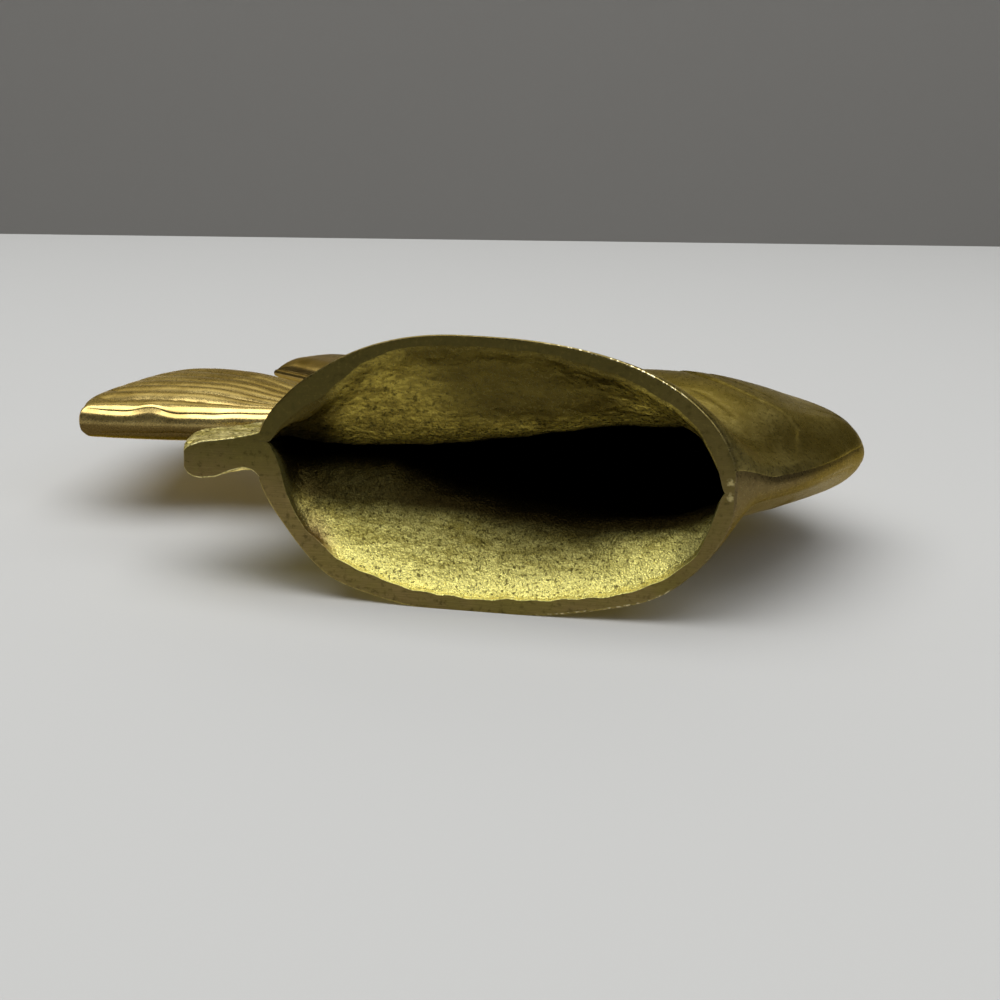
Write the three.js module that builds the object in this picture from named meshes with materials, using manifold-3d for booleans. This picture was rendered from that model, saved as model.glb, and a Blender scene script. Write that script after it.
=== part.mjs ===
// Angelfish figurine of hollow cast brass, standing on its open base rim.
// Millimetres, +Z up, +X towards the mouth, the left flank on +Y.
// Two flank castings meet on the middle plane. Fins and filler strips sit in a groove along their edges.

import * as THREE from 'three';
import { mergeVertices } from 'three/addons/utils/BufferGeometryUtils.js';
import Module from 'manifold-3d';

// Base rim, ground flat at z = 0
const base_front = 57.9;
const base_rear = -27;
const base_widest = 9.8;
const base_half_width = 25;
const rim_front_fullness = 2.5;
const rim_rear_fullness = 2.2;
const rim_rear_power = 0.6;
const rear_skirt_height = 11;
const front_skirt_height = 8;
const shoulder_rise = 4;
const shoulder_x = 44;
const shoulder_spread = 10;

// Body outline in side view
const breast_reach = 71.5;
const breast_height = 19;
const chin_reach = 79;
const chin_height = 40;
const mouth_reach = 81.7;
const mouth_height = 53;
const brow_reach = 72;
const brow_height = 68;
const forehead_reach = 53;
const forehead_height = 88;
const crest_front = 30;
const crest_height = 104;
const back_middle = 0;
const back_height = 102;
const crest_rear = -28;
const crest_rear_height = 86;
const belly_rear_x = -33;
const belly_rear_height = 20;
const tail_root_x = -36;
const tail_root_low = 43;
const tail_root_high = 74;

// Body thickness, as half of it
const girth_half = 15.3;
const girth_x = 40;
const girth_z = 42;
const girth_rear_length = 77;
const girth_height = 50;
const crown_height = 47;
const snout_half = 4;
const snout_power = 0.9;
const plate_half = 4.2;
const breast_round = 20;
const brow_round = 8;
const back_round = 18;

// Hollow inside the flanks
const wall = 2.8;
const slot_half = 10.5;
const slot_rear_half = 3;
const slot_rear = -14;
const slot_narrow = -4;
const slot_full = 40;
const slot_top = 84;
const body_wall = 5;
const core_start = 12;
const core_full = 32;
const rear_flare_height = 6.5;
const front_flare_height = 7;

// Joints between the castings
const clearance = 0.3;
const seam_gap = 0.3;
const tongue_half = 1.85;
const tongue_depth = 3;
const tongue_runout = 6;
const bead_crown = 0.5;
const bead_shoulder_rise = 0.6;
const bead_shoulder_half = 0.7;
const lip = 0.4;

// Heel fin, ground flat with the rim
const heel_half = 3.35;
const heel_reach = -41.3;
const heel_tip_x = -44.6;
const heel_tip_height = 15;
const heel_root_height = 31;
const heel_round = 2;
const heel_edge_half = 2;
const heel_bow_along = 0.4;
const heel_bow_drop = 0.8;

// Tail fin
const tail_half = 3.7;
const tail_reach = -82.3;
const tail_low_x = -77.5;
const tail_low = 33;
const tail_high_x = -78;
const tail_high = 97;
const tail_round = 1.2;
const tail_edge_half = 3;
const tail_reach_share = 0.65;
const tail_bow_along = 0.5;
const tail_low_bow_drop = 0.75;
const tail_high_bow_rise = 0.9;

// Dorsal fin
const dorsal_half = 3.8;
const dorsal_tip_x = -66;
const dorsal_tip_height = 125;
const dorsal_top = 143;
const dorsal_top_x = -57;
const dorsal_front_height = 142;
const dorsal_rear_height = 102;
const dorsal_round = 6;
const dorsal_edge_half = 0.8;
const dorsal_rear_bow_along = 0.35;
const dorsal_front_bow_along = 0.4;
const dorsal_tip_bow_along = 0.2;
const dorsal_tip_bow_rise = 0.85;

// Cast relief on each flank
const eye_x = 58;
const eye_z = 72;
const eye_radius = 4.6;
const eye_proud = 0.7;
const fin_relief_x = 29;
const fin_relief_z = 66;
const fin_relief_length = 15;
const fin_relief_height = 7;
const fin_relief_proud = 1;
const fin_relief_angle = THREE.MathUtils.degToRad(24);

// Faceting
const body_columns = 20;
const body_rows = 17;
const row_crowding = 1.7;
const fin_columns = 12;
const fin_rows = 12;
const strip_steps = 36;
const short_strip_steps = 6;
const strip_edge_half = 0.5;
const step_width = 0.1;
const patch_search_steps = 12;
const probe = 0.02;
const fraction_tolerance = 1e-6;
const dome_sides = 20;
const dome_rings = 12;

const wasm = await Module();
wasm.setup();

const at = (x, z) => new THREE.Vector2(x, z);
const { lerp, smoothstep, clamp } = THREE.MathUtils;

// Quarter-ellipse rise from 0 at an edge to 1 at the given depth.
function rounded(distance, depth) {
  const rest = 1 - clamp(distance / depth, 0, 1);
  return Math.sqrt(1 - rest * rest);
}

// Sine rise from 0 at an edge to 1 at the given depth, for a keel that is nearly straight-sided.
function swelling(distance, depth) {
  return Math.sin(0.5 * Math.PI * clamp(distance / depth, 0, 1));
}

// Bell curve of height 1 at 0, down to about a third at 1.
const bell = (value) => Math.exp(-(value ** 2));

// Fractions from 0 to 1, finer at both ends.
function finer_ends(count) {
  return Array.from({ length: count + 1 }, (_, i) => 0.5 - 0.5 * Math.cos(Math.PI * i / count));
}

// Fractions from 0 to 1, finer at 1.
function finer_tip(count) {
  return Array.from({ length: count + 1 }, (_, i) => Math.sin(0.5 * Math.PI * i / count));
}

// Coons patch: a point inside four boundary curves, u from left to right and v from bottom to top.
function patch(bottom, top, left, right) {
  const [low_left, low_right] = [bottom.getPointAt(0), bottom.getPointAt(1)];
  const [high_left, high_right] = [top.getPointAt(0), top.getPointAt(1)];
  return (u, v) => {
    const point = at(0, 0);
    point.addScaledVector(bottom.getPointAt(u), 1 - v).addScaledVector(top.getPointAt(u), v);
    point.addScaledVector(left.getPointAt(v), 1 - u).addScaledVector(right.getPointAt(v), u);
    point.addScaledVector(low_left, -(1 - u) * (1 - v)).addScaledVector(low_right, -u * (1 - v));
    point.addScaledVector(high_left, -(1 - u) * v).addScaledVector(high_right, -u * v);
    return point;
  };
}

// Closed solid between two heights in Y over a grid of side-view points, faces outwards.
function sheet_geometry(cells) {
  const along = cells[0].at(-1).p.clone().sub(cells[0][0].p);
  const across = cells.at(-1)[0].p.clone().sub(cells[0][0].p);
  const grid = along.cross(across) > 0 ? cells : cells.toReversed();
  const rows = grid.length;
  const columns = grid[0].length;
  const positions = [];
  for (const side of ['low', 'high']) {
    for (const row of grid) {
      for (const cell of row) positions.push(cell.p.x, cell[side], cell.p.y);
    }
  }
  const index = (side, i, j) => side * rows * columns + i * columns + j;
  const faces = [];
  const quad = (a, b, c, d) => faces.push(a, b, c, a, c, d);
  for (let i = 0; i + 1 < rows; i += 1) {
    for (let j = 0; j + 1 < columns; j += 1) {
      quad(index(0, i, j), index(0, i, j + 1), index(0, i + 1, j + 1), index(0, i + 1, j));
      quad(index(1, i, j), index(1, i + 1, j), index(1, i + 1, j + 1), index(1, i, j + 1));
    }
  }
  const wall_quad = (i, j, k, l) => quad(index(0, i, j), index(1, i, j), index(1, k, l), index(0, k, l));
  for (let j = 0; j + 1 < columns; j += 1) {
    wall_quad(0, j, 0, j + 1);
    wall_quad(rows - 1, j + 1, rows - 1, j);
  }
  for (let i = 0; i + 1 < rows; i += 1) {
    wall_quad(i + 1, 0, i, 0);
    wall_quad(i, columns - 1, i + 1, columns - 1);
  }
  const geometry = new THREE.BufferGeometry();
  geometry.setAttribute('position', new THREE.Float32BufferAttribute(positions, 3));
  geometry.setIndex(faces);
  return geometry;
}

function to_solid(geometry) {
  const bare = geometry.clone();
  bare.deleteAttribute('normal');
  bare.deleteAttribute('uv');
  const merged = mergeVertices(bare);
  return new wasm.Manifold(new wasm.Mesh({
    numProp: 3,
    vertProperties: new Float32Array(merged.attributes.position.array),
    triVerts: new Uint32Array(merged.index.array),
  }));
}

function to_geometry(solid) {
  const mesh = solid.getMesh();
  const geometry = new THREE.BufferGeometry();
  geometry.setAttribute('position', new THREE.BufferAttribute(mesh.vertProperties, 3));
  geometry.setIndex(new THREE.BufferAttribute(mesh.triVerts, 1));
  return geometry;
}

// Outline of the body: the front from base to crest, the rear from base to crest, and the back between.
const front_line = new THREE.SplineCurve([
  at(base_front, 0),
  at(breast_reach, breast_height),
  at(chin_reach, chin_height),
  at(mouth_reach, mouth_height),
  at(brow_reach, brow_height),
  at(forehead_reach, forehead_height),
  at(crest_front, crest_height),
]);
const rear_line = new THREE.SplineCurve([
  at(base_rear, 0),
  at(belly_rear_x, belly_rear_height),
  at(tail_root_x, tail_root_low),
  at(tail_root_x, tail_root_high),
  at(crest_rear, crest_rear_height),
]);
const back_line = new THREE.SplineCurve([
  at(crest_rear, crest_rear_height),
  at(back_middle, back_height),
  at(crest_front, crest_height),
]);
const base_line = new THREE.LineCurve(at(base_rear, 0), at(base_front, 0));
const body_point = patch(base_line, back_line, rear_line, front_line);

// How far along the rear edge, as a fraction of its length, a height is reached.
function rear_fraction(height) {
  let [low, high] = [0, 1];
  while (high - low > fraction_tolerance) {
    const middle = 0.5 * (low + high);
    if (rear_line.getPointAt(middle).y < height) low = middle;
    else high = middle;
  }
  return low;
}

// Share of a row or column of the body that a depth from its edge takes up.
const rear_share = (depth, v) => depth * probe / body_point(0, v).distanceTo(body_point(probe, v));
const front_share = (depth, v) => depth * probe / body_point(1, v).distanceTo(body_point(1 - probe, v));
const back_share = (depth, u) => depth * probe / body_point(u, 1).distanceTo(body_point(u, 1 - probe));

// Half width of the teardrop rim whose ends lie at the given places.
function rim_half(x, front, rear, half) {
  if (x >= base_widest) {
    const share = clamp((x - base_widest) / (front - base_widest), 0, 1);
    return half * Math.sqrt(1 - share ** rim_front_fullness);
  }
  const share = clamp((base_widest - x) / (base_widest - rear), 0, 1);
  return half * (1 - share ** rim_rear_fullness) ** rim_rear_power;
}

// Half thickness of the closed fish shape, before the base skirt spreads it.
function lens_half(x, z) {
  const behind = mouth_reach - x;
  const front = lerp(snout_half, girth_half, swelling(behind, mouth_reach - girth_x) ** snout_power);
  const rear = lerp(plate_half, girth_half, smoothstep(x, girth_x - girth_rear_length, girth_x));
  const plan = x > girth_x ? front : rear;
  const middle = lerp(girth_z, mouth_height, smoothstep(x, girth_x, mouth_reach));
  const thinnest = Math.min(plate_half, plan);
  const above = z > middle;
  const swell = 1 - clamp((z - middle) / (above ? crown_height : girth_height), -1, 1) ** 2;
  return above ? lerp(thinnest, plan, swell ** 2) : Math.max(thinnest, plan * swell);
}

// Groove that takes the tongues and filler strips, and the wall left beside it.
const groove_half = tongue_half + clearance;
const groove_depth = tongue_depth + clearance;
const edge_land = groove_half + lip;

// Outer and inner half thickness of the body at a place on its patch.
function body_cell(u, v) {
  const p = body_point(u, v);
  const front = body_point(1, v);
  const rear = body_point(0, v);
  const from_front = front.distanceTo(p);
  const from_back = body_point(u, 1).distanceTo(p);
  const nose_round = lerp(breast_round, brow_round, smoothstep(p.y, breast_height, mouth_height));
  const lens = lens_half(p.x, p.y);
  const lens_nose = lens * rounded(from_front + bead_crown, nose_round);
  const closed = lerp(Math.min(plate_half, lens_nose), lens_nose, rounded(from_back, back_round));
  const ahead = smoothstep(p.x, base_widest, base_front);
  const shoulder = shoulder_rise * bell((p.x - shoulder_x) / shoulder_spread);
  const skirt = bell(p.y / (lerp(rear_skirt_height, front_skirt_height, ahead) + shoulder));
  const rim = rim_half(p.x, front.x + bead_crown, rear.x - bead_crown, base_half_width);
  const outer = Math.max(edge_land, lerp(closed, rim, skirt));

  const flare = bell(p.y / lerp(rear_flare_height, front_flare_height, ahead));
  const inner_rim = rim_half(p.x, front.x - wall, rear.x + bead_crown, base_half_width - wall);
  const depth_share = 1 - clamp(p.y / slot_top, 0, 1) ** 2;
  const opened = smoothstep(p.x, slot_rear, slot_narrow);
  const slot = lerp(slot_rear_half, slot_half, smoothstep(p.x, slot_narrow, slot_full));
  const core = (outer - body_wall) * smoothstep(p.y, core_start, core_full);
  const cored = Math.max(slot, core) * opened * depth_share;
  const hollow = Math.min(lerp(cored, inner_rim, flare), outer - wall);
  return { p, outer, inner: Math.max(0.5 * seam_gap, hollow) };
}

// Outer half thickness of the body at a side-view place, whose patch coordinates are found by stepping.
function outer_half(x, z) {
  let [u, v] = [0.5, 0.5];
  for (let i = 0; i < patch_search_steps; i += 1) {
    const p = body_point(u, v);
    const along = body_point(u + probe, v).sub(p).divideScalar(probe);
    const up = body_point(u, v + probe).sub(p).divideScalar(probe);
    const miss = at(x, z).sub(p);
    const area = along.cross(up);
    u = clamp(u + miss.cross(up) / area, 0, 1 - probe);
    v = clamp(v + along.cross(miss) / area, 0, 1 - probe);
  }
  return body_cell(u, v).outer;
}

// One flank: side is 1 for the left and -1 for the right.
function flank(side) {
  const grid = [];
  const rise_steps = Array.from({ length: body_rows + 1 }, (_, i) => (i / body_rows) ** row_crowding);
  const grooved = (cell) => ({ ...cell, inner: Math.max(cell.inner, groove_half) });
  for (let i = 0; i < body_rows + 3; i += 1) {
    const row = [];
    const level = Math.min(i, body_rows);
    const in_back_groove = i > body_rows;
    const v_of = (u) => {
      if (i === body_rows + 2) return 1;
      const limit = 1 - back_share(groove_depth, u);
      return in_back_groove ? limit + back_share(step_width, u) : limit * rise_steps[level];
    };
    const v_guess = v_of(0.5);
    const rear_limit = rear_share(groove_depth, v_guess);
    const front_limit = 1 - front_share(groove_depth, v_guess);
    const rear_step = rear_share(step_width, v_guess);
    const front_step = front_share(step_width, v_guess);
    row.push(grooved(body_cell(0, v_of(0))));
    row.push(grooved(body_cell(rear_limit - rear_step, v_of(rear_limit))));
    for (const share of finer_tip(body_columns)) {
      const u = lerp(rear_limit, front_limit, share);
      const cell = body_cell(u, v_of(u));
      row.push(in_back_groove ? grooved(cell) : cell);
    }
    for (const u of [front_limit + front_step, 0.5 * (front_limit + 1), 1]) {
      row.push(grooved(body_cell(u, v_of(u))));
    }
    grid.push(row.map(({ p, outer, inner }) => ({
      p,
      low: side > 0 ? inner : -outer,
      high: side > 0 ? outer : -inner,
    })));
  }
  return to_solid(sheet_geometry(grid));
}

// Eye and pectoral fin, raised on the flank as flattened domes sunk to their middle.
function relief(side) {
  const dome = (x, z, length, height, proud, angle) => {
    const ball = new THREE.SphereGeometry(1, dome_sides, dome_rings);
    ball.scale(length, 2 * proud, height);
    ball.rotateY(angle);
    ball.translate(x, side * (outer_half(x, z) - proud), z);
    return to_solid(ball);
  };
  const eye = dome(eye_x, eye_z, eye_radius, eye_radius, eye_proud, 0);
  const fin = dome(fin_relief_x, fin_relief_z, fin_relief_length, fin_relief_height, fin_relief_proud,
    -fin_relief_angle);
  return [eye, fin];
}

function flank_with_relief(side) {
  return relief(side).reduce((solid, piece) => solid.add(piece), flank(side));
}

// Sheet of equal half thickness on both sides of the middle plane.
function plate_geometry(grid) {
  return sheet_geometry(grid.map((row) => row.map(({ p, half }) => ({ p, low: -half, high: half }))));
}

// Filler strip in the groove of one edge, flush at the groove and crowned outside it.
function seam_strip(outward, start, end, steps) {
  const edge_u = outward > 0 ? 1 : 0;
  const share = outward > 0 ? front_share : rear_share;
  const grid = [];
  for (let i = 0; i <= steps; i += 1) {
    const v = lerp(start, end, i / steps);
    const edge = body_point(edge_u, v);
    const proud = (reach) => edge.clone().add(at(outward * reach, 0));
    const row = [
      { p: body_point(edge_u - outward * share(tongue_depth, v), v), half: tongue_half },
      { p: edge, half: tongue_half },
      { p: proud(bead_shoulder_rise * bead_crown), half: bead_shoulder_half * tongue_half },
      { p: proud(bead_crown), half: strip_edge_half },
    ];
    grid.push(row);
  }
  return plate_geometry(grid);
}

// Fin plate on a tongue: f runs along its root and u from the root to the tip.
function fin_geometry({ tongue_end, root, sides, tip, half, edge_half, round, ground_first_side }) {
  const point = patch(root, tip, sides[0], sides[1]);
  const rows = finer_ends(fin_rows).map((f) => {
    const body = finer_tip(fin_columns).map((u) => {
      const p = point(f, u);
      const from_first = ground_first_side ? round : p.distanceTo(point(0, u));
      const edges = rounded(from_first, round) * rounded(p.distanceTo(point(1, u)), round)
        * rounded(p.distanceTo(point(f, 1)), round);
      return { p, half: lerp(edge_half, half, edges) };
    });
    return [{ p: tongue_end(f), half: tongue_half }, { p: root.shoulder(f), half: tongue_half }, ...body];
  });
  return plate_geometry(rows);
}

// Root of a fin along the rear edge or the back, set off from the body by the clearance.
function root_curve(body_edge, away) {
  const offset = (f, reach) => body_edge(f).addScaledVector(away, reach);
  return {
    getPointAt: (f) => offset(f, clearance + step_width),
    shoulder: (f) => offset(f, clearance),
  };
}

const heel_top = rear_fraction(heel_root_height);
const tail_bottom = rear_fraction(tail_root_low);
const tail_top = rear_fraction(tail_root_high);
const end_gap = clearance / rear_line.getLength();
const rearwards = at(-1, 0);
const upwards = at(0, 1);
const bowed = (start, control, end) => new THREE.QuadraticBezierCurve(start, control, end);
const between = (start, end, along, up) => at(lerp(start.x, end.x, along), lerp(start.y, end.y, up));

function heel_fin() {
  const v_of = (f) => f * heel_top;
  const root = root_curve((f) => body_point(0, v_of(f)), rearwards);
  const toe = at(heel_reach, 0);
  const tip = at(heel_tip_x, heel_tip_height);
  const root_top = root.getPointAt(1);
  return fin_geometry({
    tongue_end: (f) => {
      const height = body_point(0, v_of(f)).y;
      const depth = lerp(clearance, tongue_depth, smoothstep(height, 0, tongue_runout));
      return body_point(rear_share(depth, v_of(f)), v_of(f));
    },
    root,
    sides: [
      new THREE.LineCurve(root.getPointAt(0), toe),
      bowed(root_top, between(root_top, tip, heel_bow_along, heel_bow_drop), tip),
    ],
    tip: bowed(toe, at(heel_tip_x, 0.5 * heel_tip_height), tip),
    half: heel_half,
    edge_half: heel_edge_half,
    round: heel_round,
    ground_first_side: true,
  });
}

function tail_fin() {
  const v_of = (f) => lerp(tail_bottom + end_gap, tail_top - end_gap, f);
  const root = root_curve((f) => body_point(0, v_of(f)), rearwards);
  const low_tip = at(tail_low_x, tail_low);
  const high_tip = at(tail_high_x, tail_high);
  const furthest = at(tail_reach, lerp(tail_low, tail_high, tail_reach_share));
  const low_root = root.getPointAt(0);
  const high_root = root.getPointAt(1);
  return fin_geometry({
    tongue_end: (f) => body_point(rear_share(tongue_depth, v_of(f)), v_of(f)),
    root,
    sides: [
      bowed(low_root, between(low_root, low_tip, tail_bow_along, tail_low_bow_drop), low_tip),
      bowed(high_root, between(high_root, high_tip, tail_bow_along, tail_high_bow_rise), high_tip),
    ],
    tip: new THREE.SplineCurve([low_tip, furthest, high_tip]),
    half: tail_half,
    edge_half: tail_edge_half,
    round: tail_round,
  });
}

function dorsal_fin() {
  const root = root_curve((f) => body_point(f, 1), upwards);
  const tip = at(dorsal_tip_x, dorsal_tip_height);
  const top = at(dorsal_top_x, dorsal_top);
  const rear_root = root.getPointAt(0);
  const front_root = root.getPointAt(1);
  return fin_geometry({
    tongue_end: (f) => body_point(f, 1 - back_share(tongue_depth, f)),
    root,
    sides: [
      bowed(rear_root, at(lerp(rear_root.x, tip.x, dorsal_rear_bow_along), dorsal_rear_height), tip),
      bowed(front_root, at(lerp(front_root.x, top.x, dorsal_front_bow_along), dorsal_front_height), top),
    ],
    tip: bowed(tip, between(tip, top, dorsal_tip_bow_along, dorsal_tip_bow_rise), top),
    half: dorsal_half,
    edge_half: dorsal_edge_half,
    round: dorsal_round,
  });
}

const cast_brass = { color: 0x8d7838, roughness: 0.45, metalness: 1 };
const polished_brass = { color: 0xa98543, roughness: 0.3, metalness: 1 };
const filler_brass = { color: 0x9c8646, roughness: 0.4, metalness: 1 };

const figurine = new THREE.Group();

function add_piece(name, geometry, finish) {
  const mesh = new THREE.Mesh(geometry, new THREE.MeshStandardMaterial(finish));
  mesh.name = name;
  figurine.add(mesh);
}

const strip_end = (u) => 1 - back_share(groove_depth, u);
add_piece('left_flank', to_geometry(flank_with_relief(1)), cast_brass);
add_piece('right_flank', to_geometry(flank_with_relief(-1)), cast_brass);
add_piece('tail_fin', tail_fin(), polished_brass);
add_piece('dorsal_fin', dorsal_fin(), polished_brass);
add_piece('heel_fin', heel_fin(), cast_brass);
add_piece('front_seam_braze', seam_strip(1, 0, strip_end(1), strip_steps), filler_brass);
add_piece('rear_seam_braze',
  seam_strip(-1, heel_top + end_gap, tail_bottom, short_strip_steps), filler_brass);
add_piece('back_seam_braze',
  seam_strip(-1, tail_top, strip_end(0), short_strip_steps), filler_brass);

export default figurine;
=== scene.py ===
"""Brass angelfish figurine, seen from under its open base as it lies on its left flank.

Lengths in the classes are millimetres in the part's own frame: +X towards the mouth, +Y the left flank and
+Z up.
"""

import logging
import math
from dataclasses import dataclass, field, replace
from enum import Enum
from typing import Sequence

import bpy
import numpy as np
from mathutils import Matrix, Vector


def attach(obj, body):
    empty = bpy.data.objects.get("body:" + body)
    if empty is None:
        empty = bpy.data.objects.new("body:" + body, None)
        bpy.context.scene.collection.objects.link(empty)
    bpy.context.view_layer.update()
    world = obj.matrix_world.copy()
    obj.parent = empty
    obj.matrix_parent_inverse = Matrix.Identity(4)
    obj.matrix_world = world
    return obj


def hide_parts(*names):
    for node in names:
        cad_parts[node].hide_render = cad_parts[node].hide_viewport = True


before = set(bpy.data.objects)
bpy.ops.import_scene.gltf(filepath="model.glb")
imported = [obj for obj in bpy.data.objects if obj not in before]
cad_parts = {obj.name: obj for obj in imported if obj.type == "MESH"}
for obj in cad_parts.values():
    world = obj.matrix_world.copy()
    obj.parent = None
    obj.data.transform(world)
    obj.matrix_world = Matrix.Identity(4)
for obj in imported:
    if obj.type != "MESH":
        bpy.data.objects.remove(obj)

log = logging.getLogger("angelfish")

MM = 0.001
BODY = "root"
GRID_EDGE = 1e-6
TINY = 1e-9
QUICK_WAVE, SLOW_WAVE, WAVE_SHIFT = 0.9, 0.37, 1.0
TARNISH_TURN = 12.0

Array = np.ndarray
Place = tuple[float, float]
Span = tuple[float, float]
Knots = tuple[Place, ...]
Colour = tuple[float, float, float]
Socket = bpy.types.NodeSocket


# Shared shapes


def lerp(low: Array, high: Array, share: Array) -> Array:
    """Value at a share of the way between two others."""
    return low + (high - low) * share


def smoothstep(value: Array, low: float, high: float) -> Array:
    """Smooth rise from 0 at low to 1 at high."""
    share = np.clip((value - low) / (high - low), 0.0, 1.0)
    return share * share * (3.0 - 2.0 * share)


def fall(value: Array, low: float, high: float) -> Array:
    """Smooth fall from 1 at low to 0 at high."""
    return 1.0 - smoothstep(value, low, high)


def rounded(distance: Array, depth: float) -> Array:
    """Quarter-ellipse rise from 0 at an edge to 1 at the given depth."""
    rest = 1.0 - np.clip(distance / depth, 0.0, 1.0)
    return np.sqrt(1.0 - rest * rest)


def swelling(distance: Array, depth: Array) -> Array:
    """Sine rise from 0 at an edge to 1 at the given depth."""
    return np.sin(0.5 * np.pi * np.clip(distance / depth, 0.0, 1.0))


def bell(value: Array, middle: float, spread: float) -> Array:
    """Bell curve of height 1."""
    return np.exp(-(((value - middle) / spread) ** 2))


def uneven(value: Array) -> Array:
    """Irregular wave between -1 and 1."""
    return np.sin(QUICK_WAVE * value) * np.sin(SLOW_WAVE * value + WAVE_SHIFT)


def graded(share: Array, knots: Knots) -> Array:
    """Uneven spacing: maps even shares through (share, place) knots."""
    shares, places = zip(*knots)
    return np.interp(share, shares, places)


def profile(value: Array, knots: Knots, blur: float = 1.2) -> Array:
    """Smoothed line through knots.

    Args:
        value: Where to read the line.
        knots: (place, height) pairs in rising order of place.
        blur: Length over which corners are eased.

    Returns:
        The line's height at each value.
    """
    places, heights = zip(*knots)
    offsets = np.linspace(-blur, blur, 9)
    return np.mean([np.interp(value + offset, places, heights) for offset in offsets], axis=0)


def right_share(y: Array) -> Array:
    """Share of the ground faces' dark tarnish, from none at the left to all at the right."""
    return np.clip(0.5 - y / TARNISH_TURN, 0.0, 1.0)


@dataclass(frozen=True)
class Spot:
    """Soft round place in side view, with the middle and spread of its bells along x and z."""

    height: float
    x: Span
    z: Span

    def at(self, x: Array, z: Array) -> Array:
        """Height of the spot at side-view places."""
        return self.height * bell(x, *self.x) * bell(z, *self.z)


class Line:
    """Side-view curve, read by the share of its length."""

    STEPS = 400
    FEWEST = 8
    SPACING = 0.4

    def __init__(self, points: Array) -> None:
        """Keeps the points and their shares of the length.

        Args:
            points: Side-view points in order.
        """
        steps = np.linalg.norm(np.diff(points, axis=0), axis=1)
        self.points = points
        self.length = float(steps.sum())
        self.shares = np.concatenate([[0.0], np.cumsum(steps)]) / self.length

    @classmethod
    def through(cls, knots: Sequence[Place]) -> "Line":
        """Smooth curve through all the knots.

        Args:
            knots: Side-view points in order.

        Returns:
            The curve.
        """
        pts = np.asarray(knots, float)
        last = len(pts) - 1
        t = np.linspace(0.0, last, cls.STEPS * last + 1)
        i = np.minimum(t.astype(int), last - 1)
        w = (t - i)[:, None]
        p0, p1 = pts[np.maximum(i - 1, 0)], pts[i]
        p2, p3 = pts[i + 1], pts[np.minimum(i + 2, last)]
        v0, v1 = 0.5 * (p2 - p0), 0.5 * (p3 - p1)
        cubic = (2 * p1 - 2 * p2 + v0 + v1) * w**3
        return cls(cubic + (-3 * p1 + 3 * p2 - 2 * v0 - v1) * w**2 + v0 * w + p1)

    @classmethod
    def bowed(cls, start: Place, control: Place, end: Place) -> "Line":
        """Curve from start to end, drawn towards a control point.

        Args:
            start: First point.
            control: Point that the curve is drawn towards.
            end: Last point.

        Returns:
            The curve.
        """
        a, b, c = (np.asarray(p, float) for p in (start, control, end))
        t = np.linspace(0.0, 1.0, cls.STEPS + 1)[:, None]
        return cls(a * (1 - t) ** 2 + 2 * b * t * (1 - t) + c * t**2)

    def at(self, share: Array) -> Array:
        """Points at shares of the length, with x and z in the last axis.

        Args:
            share: Shares of the length, from 0 to 1.

        Returns:
            The points.
        """
        x = np.interp(share, self.shares, self.points[:, 0])
        z = np.interp(share, self.shares, self.points[:, 1])
        return np.stack([x, z], axis=-1)

    def ends(self) -> tuple[Place, Place]:
        """First and last point."""
        return tuple(self.at(np.array(0.0))), tuple(self.at(np.array(1.0)))

    def part(self, start: float, end: float) -> "Line":
        """The stretch between two shares of the length."""
        return Line(self.at(np.linspace(start, end, self.STEPS + 1)))

    def distance(self, x: Array, z: Array) -> Array:
        """Distance of side-view places from the curve.

        Args:
            x: Side-view place along the fish.
            z: Side-view height.

        Returns:
            The distance of each place.
        """
        count = max(self.FEWEST, int(self.length / self.SPACING))
        best = np.full(x.shape, np.inf)
        for px, pz in self.at(np.linspace(0.0, 1.0, count)):
            best = np.minimum(best, (x - px) ** 2 + (z - pz) ** 2)
        return np.sqrt(best)


@dataclass
class Sheet:
    """Surface in side view that is spanned by four curves."""

    bottom: Line
    top: Line
    left: Line
    right: Line

    def at(self, u: Array, v: Array) -> Array:
        """Points at u from left to right and v from bottom to top.

        Args:
            u: Share of the way from left to right.
            v: Share of the way from bottom to top.

        Returns:
            The side-view points, with x and z in the last axis.
        """
        u, v = np.broadcast_arrays(np.asarray(u, float), np.asarray(v, float))
        uu, vv = u[..., None], v[..., None]
        (low_left, low_right), (high_left, high_right) = self.bottom.ends(), self.top.ends()
        ruled = (1.0 - vv) * self.bottom.at(u) + vv * self.top.at(u)
        ruled = ruled + (1.0 - uu) * self.left.at(v) + uu * self.right.at(v)
        ruled = ruled - (1.0 - vv) * ((1.0 - uu) * low_left + uu * low_right)
        return ruled - vv * ((1.0 - uu) * high_left + uu * high_right)


# Mesh work


def select_only(piece: bpy.types.Object) -> None:
    """Makes one piece the only selected one, and the active one.

    Args:
        piece: The piece.
    """
    bpy.ops.object.select_all(action="DESELECT")
    bpy.context.view_layer.objects.active = piece
    piece.select_set(True)


def edit_mode(piece: bpy.types.Object) -> None:
    """Opens one piece for editing with all of it selected.

    Args:
        piece: The piece.
    """
    select_only(piece)
    bpy.ops.object.mode_set(mode="EDIT")
    bpy.ops.mesh.select_all(action="SELECT")


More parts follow.
